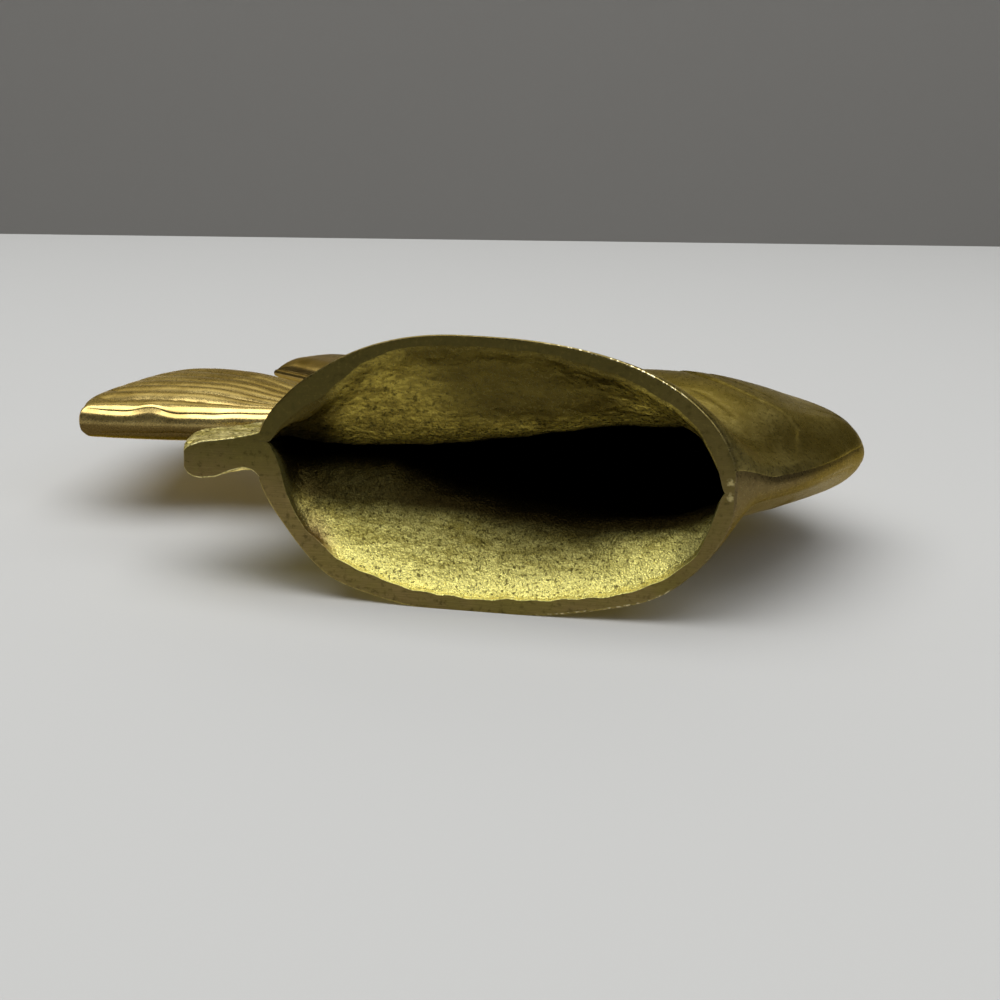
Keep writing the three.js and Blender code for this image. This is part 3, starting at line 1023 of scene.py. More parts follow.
@dataclass
class Relief:
    """Low relief that both flanks carry."""

    eye: Place = (58.0, 72.0)
    eye_radius: float = 4.6
    eye_proud: float = 0.7
    ring: Span = (1.12, 0.12)
    ring_depth: float = 0.3
    pupil: float = 0.42
    pupil_edge: float = 0.1
    pupil_depth: float = 0.35
    fin: Place = (29.0, 66.0)
    fin_length: float = 15.0
    fin_height: float = 7.0
    fin_proud: float = 0.9
    fin_angle: float = math.radians(24.0)
    fin_rays: int = 7
    ray_turns: float = 4.0
    ray_root: float = 1.15
    ray_fade: Span = (0.02, 0.3)
    ray_depth: float = 0.22
    ray_tone: float = 0.7
    groove_depth: float = 0.22
    groove_width: float = 0.42
    gill_step: float = 0.25
    gill_reach: float = 7.0
    gill_rise: Span = (-0.3, 0.5)
    gill_edge: Knots = (
        (52.0, 86.0), (45.5, 76.0), (42.5, 64.0), (44.0, 52.0), (48.0, 42.5), (53.5, 36.0), (60.4, 33.4),
        (64.7, 33.0), (68.3, 29.7),
    )
    cheek_line: Knots = (
        (52.5, 64.0), (49.2, 57.5), (49.7, 50.4), (52.1, 44.6), (56.2, 41.6), (60.1, 40.9), (64.0, 39.6),
    )
    throat_line: Knots = ((49.0, 27.0), (51.5, 25.2), (53.6, 23.4), (56.4, 20.8))
    lip_line: Knots = ((72.0, 49.5), (76.5, 50.8), (81.7, 52.4))
    band_lines: tuple[Knots, ...] = (
        ((24.0, 102.0), (17.5, 84.0), (16.0, 60.0), (18.0, 38.0), (22.0, 17.0)),
        ((17.0, 102.0), (10.5, 84.0), (9.0, 60.0), (10.5, 38.0), (13.5, 17.0)),
        ((-8.0, 97.0), (-13.0, 82.0), (-14.5, 60.0), (-13.0, 38.0), (-9.0, 17.0)),
        ((-14.5, 94.0), (-19.0, 80.0), (-20.5, 60.0), (-19.5, 38.0), (-16.0, 17.0)),
    )

    def height(self, x: Array, z: Array) -> tuple[Array, Array]:
        """Relief over the smooth flank.

        Args:
            x: Side-view place along the fish.
            z: Side-view height.

        Returns:
            The height of the relief, and how deep each place lies in a line, from 0 to 1.
        """
        gill = Line.through(self.gill_edge)
        behind_gill = gill.distance(x, z)
        recess = bell(behind_gill, 0.0, self.groove_width)
        for knots in (self.cheek_line, self.throat_line, self.lip_line, *self.band_lines):
            recess = np.maximum(recess, bell(Line.through(knots).distance(x, z), 0.0, self.groove_width))
        step = self.gill_step * np.exp(-behind_gill / self.gill_reach) * self._before(gill, x, z)
        eye_lift, eye_cut = self._eye(x, z)
        fin_lift, fin_cut = self._pectoral(x, z)
        lift = step - self.groove_depth * recess + eye_lift + fin_lift
        return lift, np.clip(recess + eye_cut + fin_cut, 0.0, 1.0)

    def _before(self, line: Line, x: Array, z: Array) -> Array:
        """1 on the mouth's side of an upright line and 0 behind it.

        Args:
            line: The upright line.
            x: Side-view place along the fish.
            z: Side-view height.

        Returns:
            A share from 0 to 1.
        """
        order = np.argsort(line.points[:, 1])
        edge = np.interp(z, line.points[order, 1], line.points[order, 0])
        return smoothstep(x - edge, *self.gill_rise)

    def _eye(self, x: Array, z: Array) -> tuple[Array, Array]:
        """Domed eye in a ring groove, with a drilled pupil.

        Args:
            x: Side-view place along the fish.
            z: Side-view height.

        Returns:
            The height of the eye, and how deep each place lies in its grooves.
        """
        away = np.hypot(x - self.eye[0], z - self.eye[1]) / self.eye_radius
        dome = self.eye_proud * np.sqrt(np.clip(1.0 - away**2, 0.0, 1.0))
        ring = bell(away, *self.ring)
        pupil = smoothstep(self.pupil - away, 0.0, self.pupil_edge)
        return dome - self.ring_depth * ring - self.pupil_depth * pupil, np.maximum(ring, pupil)

    def _pectoral(self, x: Array, z: Array) -> tuple[Array, Array]:
        """Leaf-shaped fin with rays that spread from its front end.

        Args:
            x: Side-view place along the fish.
            z: Side-view height.

        Returns:
            The height of the fin, and how deep each place lies between its rays.
        """
        c, s = math.cos(self.fin_angle), math.sin(self.fin_angle)
        along = (x - self.fin[0]) * c + (z - self.fin[1]) * s
        up = -(x - self.fin[0]) * s + (z - self.fin[1]) * c
        spread = (along / self.fin_length) ** 2 + (up / self.fin_height) ** 2
        dome = self.fin_proud * np.sqrt(np.clip(1.0 - spread, 0.0, 1.0))
        turn = np.arctan2(up, self.fin_length * self.ray_root - along)
        ray = 0.5 - 0.5 * np.cos(turn * self.fin_rays * self.ray_turns)
        cut = (1.0 - ray) ** 3 * smoothstep(1.0 - spread, *self.ray_fade)
        return dome - self.ray_depth * cut, self.ray_tone * cut


@dataclass
class BodyForm:
    """Half thickness of the two flanks, outside and inside."""

    outline: Outline = field(default_factory=Outline)
    relief: Relief = field(default_factory=Relief)
    base_widest: float = 9.8
    base_half: float = 24.96
    front_fullness: float = 2.5
    rear_fullness: float = 2.2
    rear_power: float = 0.6
    rear_skirt: float = 11.0
    front_skirt: float = 8.0
    tight_skirt: float = 4.8
    shoulder: float = 4.0
    shoulder_x: Span = (44.0, 10.0)
    girth_half: float = 15.3
    girth: Place = (40.0, 42.0)
    girth_rear: float = 77.0
    girth_height: float = 50.0
    crown_height: float = 47.0
    snout_half: float = 5.0
    snout_power: float = 0.95
    plate_half: float = 4.2
    back_half: float = 3.75
    breast_round: float = 20.0
    brow_round: float = 5.5
    back_round: float = 18.0
    keel_half: float = 2.55
    keel_round: float = 2.0
    keel_blend: float = 1.6
    keel_reach: float = 4.0
    crown: float = 0.5
    fin_edge: float = 0.8
    rim_edge: float = 0.35
    skirt_clear: float = 8.0
    relief_front: Span = (0.3, 2.5)
    relief_rear: Span = (0.5, 3.0)
    relief_back: Span = (0.4, 3.0)
    relief_base: Span = (6.0, 16.0)
    lean: float = 1.3
    lean_x: Span = (14.0, 27.0)
    lean_height: float = 9.0
    tip_right: float = 0.8
    tip_left: float = 0.7
    tip_x: Span = (22.0, 27.0)
    tip_height: float = 6.0
    fuller_left: tuple[tuple[float, Span], ...] = ((1.2, (46.5, 8.0)), (0.9, (-14.0, 6.0)))
    fuller_height: float = 4.0
    flat_left: Spot = Spot(-1.4, (62.0, 16.0), (34.0, 18.0))
    cheek_right: Spot = Spot(0.7, (50.0, 16.0), (28.0, 14.0))
    jaw_right: Spot = Spot(0.35, (54.0, 6.0), (41.0, 14.0))
    snout_right: Spot = Spot(-0.7, (69.5, 5.0), (50.0, 18.0))
    wall: float = 2.4
    wall_height: float = 3.0
    rim_wall: float = 1.5
    body_wall: float = 5.0
    core: Span = (12.0, 32.0)
    core_x: Span = (-12.0, 8.0)
    rear_flare: float = 6.5
    front_flare: float = 7.0
    slot_top: float = 84.0
    slot_blur: float = 1.0
    slot_drawn: Span = (30.0, 52.0)
    slot_right: Knots = (
        (-25.2, 4.2), (-18.0, 3.2), (-12.0, 2.8), (-8.4, 3.1), (4.5, 3.9), (16.0, 5.5), (27.0, 7.4),
        (37.2, 9.5), (42.0, 9.9), (46.0, 8.8), (49.4, 6.6), (52.2, 3.8), (53.7, 1.6), (54.4, 0.0),
    )
    slot_left: Knots = (
        (-25.2, -4.2), (-18.0, -3.0), (-12.0, -2.6), (-8.5, -2.0), (-2.8, 1.6), (6.6, 5.0), (16.0, 7.6),
        (32.0, 9.5), (43.0, 8.9), (49.0, 7.6), (52.0, 5.6), (53.8, 3.0), (54.5, 1.2), (54.7, 0.0),
    )
    lip_left: float = 0.15
    lip_right: Knots = (
        (-25.0, 0.4), (-20.0, 2.2), (-10.0, 2.2), (4.0, 1.6), (30.0, 1.4), (50.0, 1.2), (55.0, 0.4),
    )
    lip_blur: float = 2.0
    lip_rise: float = 0.65
    lip_rear: Span = (-25.0, -23.0)
    lip_front: Span = (54.5, 55.8)
    mouth_right: Knots = (
        (-25.2, 4.2), (-22.5, 6.8), (-19.5, 8.9), (-15.7, 11.4), (-12.6, 13.9), (-9.3, 16.8), (-5.7, 19.3),
        (0.0, 21.5), (7.0, 22.1), (13.0, 22.2), (22.0, 21.9), (32.0, 20.0), (39.0, 17.8), (43.5, 15.7),
        (48.0, 13.0), (51.5, 9.8), (53.7, 6.5), (55.3, 3.2), (55.9, 0.0),
    )
    mouth_left: Knots = (
        (-25.4, -4.1), (-24.1, -2.0), (-22.9, 0.6), (-22.6, 2.8), (-22.0, 4.8), (-20.3, 8.6), (-18.2, 11.6),
        (-15.5, 14.0), (-12.2, 16.5), (-6.2, 19.0), (-0.6, 20.7), (6.9, 21.8), (14.2, 22.0), (23.2, 21.5),
        (32.1, 20.6), (38.3, 19.4), (43.1, 17.9), (47.7, 15.2), (52.3, 11.0), (54.1, 6.5), (55.5, 1.6),
        (55.9, 0.0),
    )
    mouth_blur: float = 0.5
    mouth_ripple: float = 0.22
    seam: Knots = ((-25.2, -4.2), (-20.0, -2.4), (-12.0, -1.6), (0.0, -1.2), (10.0, -0.9), (22.0, 0.0))
    seam_height: Span = (18.0, 45.0)
    least_gap: float = 0.01

    def rim_half(self, x: Array, front: Array, rear: Array) -> Array:
        """Half width of a teardrop rim whose ends lie at the given places.

        Args:
            x: Side-view place along the fish.
            front: Where the rim ends in front.
            rear: Where it ends behind.

        Returns:
            The half width.
        """
        ahead = np.clip((x - self.base_widest) / (front - self.base_widest), 0.0, 1.0)
        behind = np.clip((self.base_widest - x) / (self.base_widest - rear), 0.0, 1.0)
        fore = self.base_half * np.sqrt(1.0 - ahead**self.front_fullness)
        aft = self.base_half * (1.0 - behind**self.rear_fullness) ** self.rear_power
        return np.where(x >= self.base_widest, fore, aft)

    def lens_half(self, x: Array, z: Array) -> Array:
        """Half thickness of the closed fish shape, before the skirt spreads it.

        Args:
            x: Side-view place along the fish.
            z: Side-view height.

        Returns:
            The half thickness.
        """
        reach, height = self.outline.mouth
        girth_x, girth_z = self.girth
        front = swelling(reach - x, reach - girth_x) ** self.snout_power
        front = lerp(self.snout_half, self.girth_half, front)
        rear = lerp(self.plate_half, self.girth_half, smoothstep(x, girth_x - self.girth_rear, girth_x))
        plan = np.where(x > girth_x, front, rear)
        middle = lerp(girth_z, height, smoothstep(x, girth_x, reach))
        thinnest = np.minimum(self.plate_half, plan)
        above = z > middle
        reach_up = np.where(above, self.crown_height, self.girth_height)
        swell = 1.0 - np.clip((z - middle) / reach_up, -1.0, 1.0) ** 2
        return np.where(above, lerp(thinnest, plan, swell**2), np.maximum(thinnest, plan * swell))

    def ahead(self, x: Array) -> Array:
        """Rise from 0 at the rim's widest place to 1 at its front."""
        return smoothstep(x, self.base_widest, self.outline.base_front)

    def skirt_height(self, x: Array, side: Side) -> Array:
        """Height over which the rim's spread fades into the body.

        Args:
            x: Side-view place along the fish.
            side: Which flank.

        Returns:
            The height.
        """
        if side is Side.LEFT:
            return lerp(self.rear_skirt, self.tight_skirt, self.ahead(x))
        even = lerp(self.rear_skirt, self.front_skirt, self.ahead(x))
        return even + self.shoulder * bell(x, *self.shoulder_x)

    def outer(self, u: Array, v: Array, side: Side) -> tuple[Array, Array, Array]:
        """Outside of one flank.

        Args:
            u: Place from the rear edge to the front edge.
            v: Place from the base to the back.
            side: Which flank.

        Returns:
            Side-view points, distance from the middle plane, and depth in incised lines.
        """
        sheet = self.outline.sheet
        p, front, rear, top = sheet.at(u, v), sheet.at(1.0, v), sheet.at(0.0, v), sheet.at(u, 1.0)
        x, z = p[..., 0], p[..., 1]
        from_front, from_rear, from_back = (np.linalg.norm(q - p, axis=-1) for q in (front, rear, top))
        up_face = smoothstep(z, self.outline.breast[1], self.outline.mouth[1])
        nose_round = lerp(self.breast_round, self.brow_round, up_face)
        nose = self.lens_half(x, z) * rounded(from_front + self.crown, nose_round)
        closed = lerp(np.minimum(self.back_half, nose), nose, rounded(from_back, self.back_round))
        skirt = np.exp(-((z / self.skirt_height(x, side)) ** 2))
        rim = self.rim_half(x, front[..., 0] + self.crown, rear[..., 0] - self.crown)
        wide = lerp(closed, rim, skirt)
        keel = self.keel_half * rounded(from_front + self.crown, self.keel_round)
        eased = np.hypot(keel - wide, self.keel_blend * rounded(from_front, self.keel_reach))
        half = 0.5 * (keel + wide + eased) + self._lopsided(x, z, side)
        lift, recess = self.relief.height(x, z)
        fade = smoothstep(from_front, *self.relief_front) * smoothstep(z, *self.relief_base)
        fade = fade * smoothstep(from_back, *self.relief_back)
        half = half + lift * fade * smoothstep(from_rear, *self.relief_rear)
        from_edge = np.minimum(from_rear + self.skirt_clear * skirt, from_back)
        half = half * rounded(from_edge + 0.5 * self.fin_edge, self.fin_edge)
        half = half - self.rim_edge * (1.0 - rounded(z, self.rim_edge))
        return p, half, recess * fade

    def _lopsided(self, x: Array, z: Array, side: Side) -> Array:
        """Unevenness of the casting: the skirt's rear end leans right, and the flanks differ in front.

        Args:
            x: Side-view place along the fish.
            z: Side-view height.
            side: Which flank.

        Returns:
            What the flank's half thickness gains.
        """
        lean = self.lean * smoothstep(-x, *self.lean_x) * np.exp(-z / self.lean_height)
        tip = smoothstep(-x, *self.tip_x) * np.exp(-z / self.tip_height)
        if side is Side.RIGHT:
            spots = (self.cheek_right, self.jaw_right, self.snout_right)
            return lean + self.tip_right * tip + sum(spot.at(x, z) for spot in spots)
        fuller = sum(height * bell(x, *place) for height, place in self.fuller_left)
        fuller = fuller * np.exp(-z / self.fuller_height)
        return self.tip_left * tip - lean + fuller + self.flat_left.at(x, z)

    def lip(self, x: Array, side: Side) -> Array:
        """Height of the rolled lip inside the rim."""
        if side is Side.LEFT:
            return np.full_like(x, self.lip_left)
        return profile(x, self.lip_right, self.lip_blur)

    def inner(self, p: Array, front: Array, outer: Array, side: Side) -> Array:
        """Wall of the hollow in one flank.

        Args:
            p: Side-view points.
            front: Point of the front edge at the height of each.
            outer: Distance of the outside from the middle plane.
            side: Which flank.

        Returns:
            Distance of the wall from the middle plane, counted towards the flank.
        """
        x, z = p[..., 0], p[..., 1]
        left = side is Side.LEFT
        flare = np.exp(-((z / lerp(self.rear_flare, self.front_flare, self.ahead(x))) ** 2))
        drawn = x - (front[..., 0] - self.outline.base_front) * smoothstep(x, *self.slot_drawn)
        slot = profile(drawn, self.slot_left if left else self.slot_right, self.slot_blur)
        core = (outer - self.body_wall) * smoothstep(z, *self.core) * smoothstep(x, *self.core_x)
        seam = side.value * profile(x, self.seam) * fall(z, *self.seam_height)
        depth = 1.0 - np.clip(z / self.slot_top, 0.0, 1.0) ** 2
        cored = seam + (np.maximum(slot, core) - seam) * depth
        mouth = profile(x, self.mouth_left if left else self.mouth_right, self.mouth_blur)
        mouth = mouth + self.mouth_ripple * uneven(x)
        lip = self.lip(x, side)
        lip_run = smoothstep(x, *self.lip_rear) * fall(x, *self.lip_front)
        hollow = lerp(cored, mouth, flare) + lip * (self.lip_rise - rounded(z, lip)) * lip_run
        wall = lerp(self.rim_wall, self.wall, smoothstep(z, 0.0, self.wall_height))
        return np.maximum(np.minimum(hollow, outer - wall), seam + self.least_gap)


@dataclass
class PatinaAndPaintedLight:
    """Where handling and tarnish have changed the brass of the flanks, and where shade, shadow, light and a
    floor reflection are painted on it.
    """

    rim_pale: float = 0.2
    rim_pale_x: Span = (36.0, 54.0)
    rim_front: float = 0.35
    rim_front_x: Span = (40.0, 52.0)
    nick_least: float = 0.08
    nick: float = 0.8
    nick_rear: Span = (22.0, 30.0)
    nick_front: Span = (46.0, 50.0)
    nick_height: Span = (0.3, 1.0)
    # Painted shade near the front seam on the left flank, darker colour along the right rim's outer edge, and
    # a painted dark reflection along the breast.
    front_shade: float = 0.8
    front_shade_u: Span = (0.72, 0.92)
    seam_height: Span = (60.0, 75.0)
    dark_edge: float = 0.9
    edge_height: Span = (0.4, 1.2)
    breast_line: Knots = ((55.0, 8.0), (65.0, 20.0), (72.5, 31.0), (78.5, 41.0), (81.0, 50.0))
    breast_spread: float = 4.8
    # Painted pink floor reflection under the breast.
    reflection_x: Span = (45.0, 60.0)
    reflection_height: Span = (55.0, 75.0)
    rosy_patch: Spot = Spot(0.8, (-16.5, 3.0), (0.5, 2.2))
    # Painted shadow lines: heights on the hollow's walls past which the skin is painted dark, set where the
    # shadow falls.
    shadow_line_left: Knots = (
        (-26.0, 1.6), (-23.2, 2.4), (-21.0, 3.9), (-16.8, 4.7), (-12.6, 5.4), (-7.2, 5.9), (-2.4, 6.5),
        (2.3, 7.2), (10.4, 8.6), (18.2, 9.6), (28.5, 9.9), (37.8, 8.4), (44.4, 6.2), (49.5, 5.2), (57.0, 4.8),
    )
    shadow_line_right: Knots = (
        (-26.0, 8.0), (-20.0, 11.5), (-15.0, 13.5), (-8.0, 14.0), (5.0, 13.0), (20.0, 11.5), (57.0, 11.0),
    )
    shadow_line_blur: float = 1.5
    shadow_edge: Span = (-1.4, 1.0)
    shadow_rear: float = 0.9
    shadow_rear_x: Span = (-12.0, 6.0)
    # Painted shade that darkens the hollow's walls with depth, and a painted darker dip on the left wall.
    depth_shade_right: float = 0.15
    depth_shade_right_height: Span = (2.0, 7.5)
    depth_shade_rear: float = 0.5
    depth_shade_rear_height: Span = (3.2, 6.0)
    depth_shade_front: float = 0.92
    depth_shade_front_height: Span = (4.4, 9.0)
    depth_shade_x: Span = (0.0, 18.0)
    depth_shade_end: float = 0.6
    depth_shade_end_x: Span = (46.0, 51.0)
    shade_dip: Spot = Spot(0.5, (22.0, 14.0), (6.2, 2.2))
    # Painted light along the left wall's rim.
    painted_light_rise: float = 1.3
    painted_light_x: Span = (5.0, 25.0)
    painted_light_height: Span = (1.8, 4.6)
    worn_left: float = 0.72
    worn_left_slope: float = 0.5
    worn_left_x: Span = (-16.4, -11.4)
    worn_tip_slope: float = 0.35
    worn_tip_x: Span = (-16.0, -8.0)
    worn_lip: float = 0.5
    worn_lip_height: Span = (0.5, 1.5)
    handled: float = 0.88
    handled_slope: float = 1.5
    handled_rear: Span = (-12.0, 4.0)
    handled_front: Span = (34.0, 42.0)
    handled_height: Span = (6.5, 10.0)

    def aged(self, side: Side, x: Array, y: Array) -> Array:
        """How dark the ground rim has gone: the right flank's most, except at the front."""
        sided = right_share(side.value * y) * (1.0 - self.rim_pale * smoothstep(x, *self.rim_pale_x))
        return np.maximum(sided, self.rim_front * smoothstep(x, *self.rim_front_x))

    def nicked(self, x: Array, z: Array) -> Array:
        """How many bright nicks the rim's outer edge has."""
        run = smoothstep(x, *self.nick_rear) * fall(x, *self.nick_front)
        return (self.nick_least + self.nick * run) * fall(z, *self.nick_height)

    def painted_shade_and_dark_edge(self, side: Side, u: Array, x: Array, z: Array) -> Array:
        """Painted shade by the front seam on the left, a painted dark reflection along the breast on the
        right, and darker colour along the rim's outer edge on the right.

        Args:
            side: Which flank.
            u: Place from the rear edge to the front edge.
            x: Side-view place along the fish.
            z: Side-view height.

        Returns:
            A share from 0 to 1.
        """
        if side is Side.LEFT:
            return self.front_shade * smoothstep(u, *self.front_shade_u) * fall(z, *self.seam_height)
        away = Line.through(self.breast_line).distance(x, z)
        return np.maximum(self.dark_edge * fall(z, *self.edge_height), bell(away, 0.0, self.breast_spread))

    def rosy(self, side: Side, x: Array, z: Array, inside: Array) -> Array:
        """Painted pink reflection of the floor under the breast, and a pink tint of the brass at one place
        inside the rim.

        Args:
            side: Which flank.
            x: Side-view place along the fish.
            z: Side-view height.
            inside: Whether each place lies in the hollow.

        Returns:
            A share from 0 to 1.
        """
        if side is Side.RIGHT:
            return np.zeros_like(x)
        breast = smoothstep(x, *self.reflection_x) * fall(z, *self.reflection_height)
        return np.where(inside, self.rosy_patch.at(x, z), breast)

    def deep(self, side: Side, x: Array, z: Array) -> Array:
        """Painted shadow in the hollow's skin: it goes dark past a painted shadow line and with the depth, a
        little less behind.

        Args:
            side: Which flank.
            x: Side-view place along the fish.
            z: Side-view height.

        Returns:
            A share from 0 to 1.
        """
        edge = profile(x, self.shadow_line_left if side is Side.LEFT else self.shadow_line_right, self.shadow_line_blur)
        along = lerp(self.shadow_rear, 1.0, smoothstep(x, *self.shadow_rear_x))
        # This share is the painted shadow past the painted shadow line.
        soot = smoothstep(z - edge, *self.shadow_edge) * along
        if side is Side.RIGHT:
            return np.maximum(soot, self.depth_shade_right * smoothstep(z, *self.depth_shade_right_height))
        rear = self.depth_shade_rear * smoothstep(z, *self.depth_shade_rear_height)
        front = self.depth_shade_front * smoothstep(z, *self.depth_shade_front_height)
        depth_shade = lerp(rear, front, smoothstep(x, *self.depth_shade_x))
        depth_shade = np.maximum(depth_shade, self.depth_shade_end * smoothstep(x, *self.depth_shade_end_x))
        return 1.0 - (1.0 - soot) * (1.0 - depth_shade) * (1.0 - self.shade_dip.at(x, z))

    def fresh(self, side: Side, x: Array, z: Array) -> Array:
        """Painted light on the hollow's skin: brighter along the left flank's rim."""
        if side is Side.RIGHT:
            return np.zeros_like(x)
        return fall(z - self.painted_light_rise * smoothstep(x, *self.painted_light_x), *self.painted_light_height)

    def worn(self, side: Side, x: Array, z: Array, lip: Array) -> Array:
        """How far handling has smoothed and darkened the hollow's skin.

        Args:
            side: Which flank.
            x: Side-view place along the fish.
            z: Side-view height.
            lip: Height of the rolled lip.

        Returns:
            A share from 0 to 1.
        """
        if side is Side.LEFT:
            return self.worn_left * fall(x + self.worn_left_slope * z, *self.worn_left_x)
        tip = fall(x + self.worn_tip_slope * z, *self.worn_tip_x)
        edge = self.worn_lip * fall(z / lip, *self.worn_lip_height)
        run = smoothstep(x - self.handled_slope * z, *self.handled_rear) * fall(x, *self.handled_front)
        return np.maximum.reduce([edge, tip, self.handled * run * fall(z, *self.handled_height)])


@dataclass
class Flank:
    """One half of the body casting."""

    side: Side
    form: BodyForm
    patina_and_light: PatinaAndPaintedLight = field(default_factory=PatinaAndPaintedLight)
    columns: int = 240
    rows: int = 186
    column_knots: Knots = ((0.0, 0.0), (0.04, 0.012), (0.5, 0.6), (0.77, 0.94), (0.93, 0.985), (1.0, 1.0))
    row_knots: Knots = (
        (0.0, 0.0), (0.035, 0.0035), (0.27, 0.075), (0.36, 0.13), (0.68, 0.46), (0.965, 0.985), (1.0, 1.0),
    )
    bevel: float = 0.12
    bevel_share: float = 0.4
    skin_low: Span = (0.15, 2.0)
    skin_high: Span = (40.0, 60.0)
    lumps: Span = (5.0, 0.9)
    grain: Span = (0.9, 0.28)

    def build(self, finishes: Finishes) -> bpy.types.Object:
        """Shapes the casting and dresses it.

        Args:
            finishes: The metal finishes.

        Returns:
            The finished piece.
        """
        name = f"{self.side.name.lower()}_flank"
        slab = Slab.add(f"{name}_casting", self.columns, self.rows, 3)
        u, v = graded(slab.u, self.column_knots), graded(slab.v, self.row_knots)
        p, outer, recess = self.form.outer(u, v, self.side)
        inner = self.form.inner(p, self.form.outline.sheet.at(1.0, v), outer, self.side)
        bevel = np.minimum(self.bevel, self.bevel_share * (outer - inner))
        y = slab.pick([outer, outer - bevel, inner + bevel, inner])
        slab.shape(p, self.side.value * y)
        inside = slab.level() == slab.layers
        self._age(slab, u, p, y, recess, inside)
        skin = smoothstep(p[:, 1], *self.skin_low) * fall(p[:, 1], *self.skin_high)
        slab.roughen(f"{name}_lumps", np.where(inside, skin, 0.0), *self.lumps)
        slab.roughen(f"{name}_grain", np.where(inside, skin, 0.0), *self.grain)
        outside_face, inside_face = slab.faces_in(slab.level() == 0), slab.faces_in(inside)
        ground_face = slab.faces_in(slab.v < GRID_EDGE) & ~outside_face & ~inside_face
        # The right flank's hollow takes the darker copy of the cast skin: painted shade.
        wall = finishes.lower_wall if self.side is Side.LEFT else finishes.shaded_upper_wall
        numbers = np.where(inside_face, 1, np.where(ground_face, 2, 0))
        slab.dress([finishes.outside, wall, finishes.ground], numbers)
        return slab.finish(name, "cast_brass")

    def _age(self, slab: Slab, u: Array, p: Array, y: Array, recess: Array, inside: Array) -> None:
        """Paints handling and tarnish, with painted shade, painted shadow, painted light and a painted
        reflection.

        Args:
            slab: The casting.
            u: Place of each vertex from the rear edge to the front edge.
            p: Its side-view point.
            y: Its distance from the middle plane.
            recess: How deep it lies in an incised line.
            inside: Whether it lies in the hollow.
        """
        x, z, side, patina_and_light = p[:, 0], p[:, 1], self.side, self.patina_and_light
        outside = slab.level() <= 1
        lip = self.form.lip(x, side)
        # Incised lines, plus painted shade and a painted dark reflection on the outside.
        slab.paint("recess", np.where(outside, np.maximum(recess, patina_and_light.painted_shade_and_dark_edge(side, u, x, z)), 0.0))
        slab.paint("bare", np.where(outside, patina_and_light.nicked(x, z), 0.0))
        slab.paint("aged", patina_and_light.aged(side, x, y))
        slab.paint("worn", np.where(inside, patina_and_light.worn(side, x, z, lip), 0.0))
        # Painted shadow deep in the hollow.
        slab.paint("deep", np.where(inside, patina_and_light.deep(side, x, z), 0.0))
        # Painted pink floor reflection under the breast; a pink tint inside the rim.
        slab.paint("rosy", patina_and_light.rosy(side, x, z, inside))
        # Painted light along the left wall's rim.
        slab.paint("fresh", np.where(inside, patina_and_light.fresh(side, x, z), 0.0))


@dataclass
class SeamBead:
    """Braze bead along one edge where the flanks meet, dressed nearly flush."""

    name: str
    form: BodyForm
    at_front: bool
    start: float
    end: float
    steps: int
    columns: int = 16
    ripple: float = 0.15
    # Darkens the bead's lower part: painted shade on the front bead, a dark joint on the rear one.
    dark: float = 0.8
    dark_joint_and_shade_height: Span = (50.0, 75.0)
    reflection_height: Span = (40.0, 60.0)

    def build(self, finishes: Finishes) -> bpy.types.Object:
        """Shapes the bead and dresses it.

        Args:
            finishes: The metal finishes.

        Returns:
            The finished piece.
        """
        slab = Slab.add(f"{self.name}_bead", self.columns, self.steps, 1)
        v = lerp(self.start, self.end, slab.v)
        edge = np.full_like(v, 1.0 if self.at_front else 0.0)
        p, left, _ = self.form.outer(edge, v, Side.LEFT)
        _, right, _ = self.form.outer(edge, v, Side.RIGHT)
        across = 2.0 * slab.u - 1.0
        rise = self.form.crown * (1.0 - across**2)
        if not self.at_front:
            rise = -rise * (1.0 - self.ripple + self.ripple * uneven(self.steps * v))
        side_view = p.copy()
        side_view[:, 0] += np.where(slab.w < 0.5, rise, 0.0)
        slab.shape(side_view, np.where(across > 0, across * left, across * right))
        # Painted shade on the front bead's lower part; on the rear bead a dark joint.
        slab.paint("recess", self.dark * fall(p[:, 1], *self.dark_joint_and_shade_height))
        slab.paint("bare", np.zeros_like(v))
        # Painted pink floor reflection on the bead's lower part.
        slab.paint("rosy", fall(p[:, 1], *self.reflection_height))
        slab.dress([finishes.outside if self.at_front else finishes.bead])
        return slab.finish(self.name, "filler_brass")


# Fins


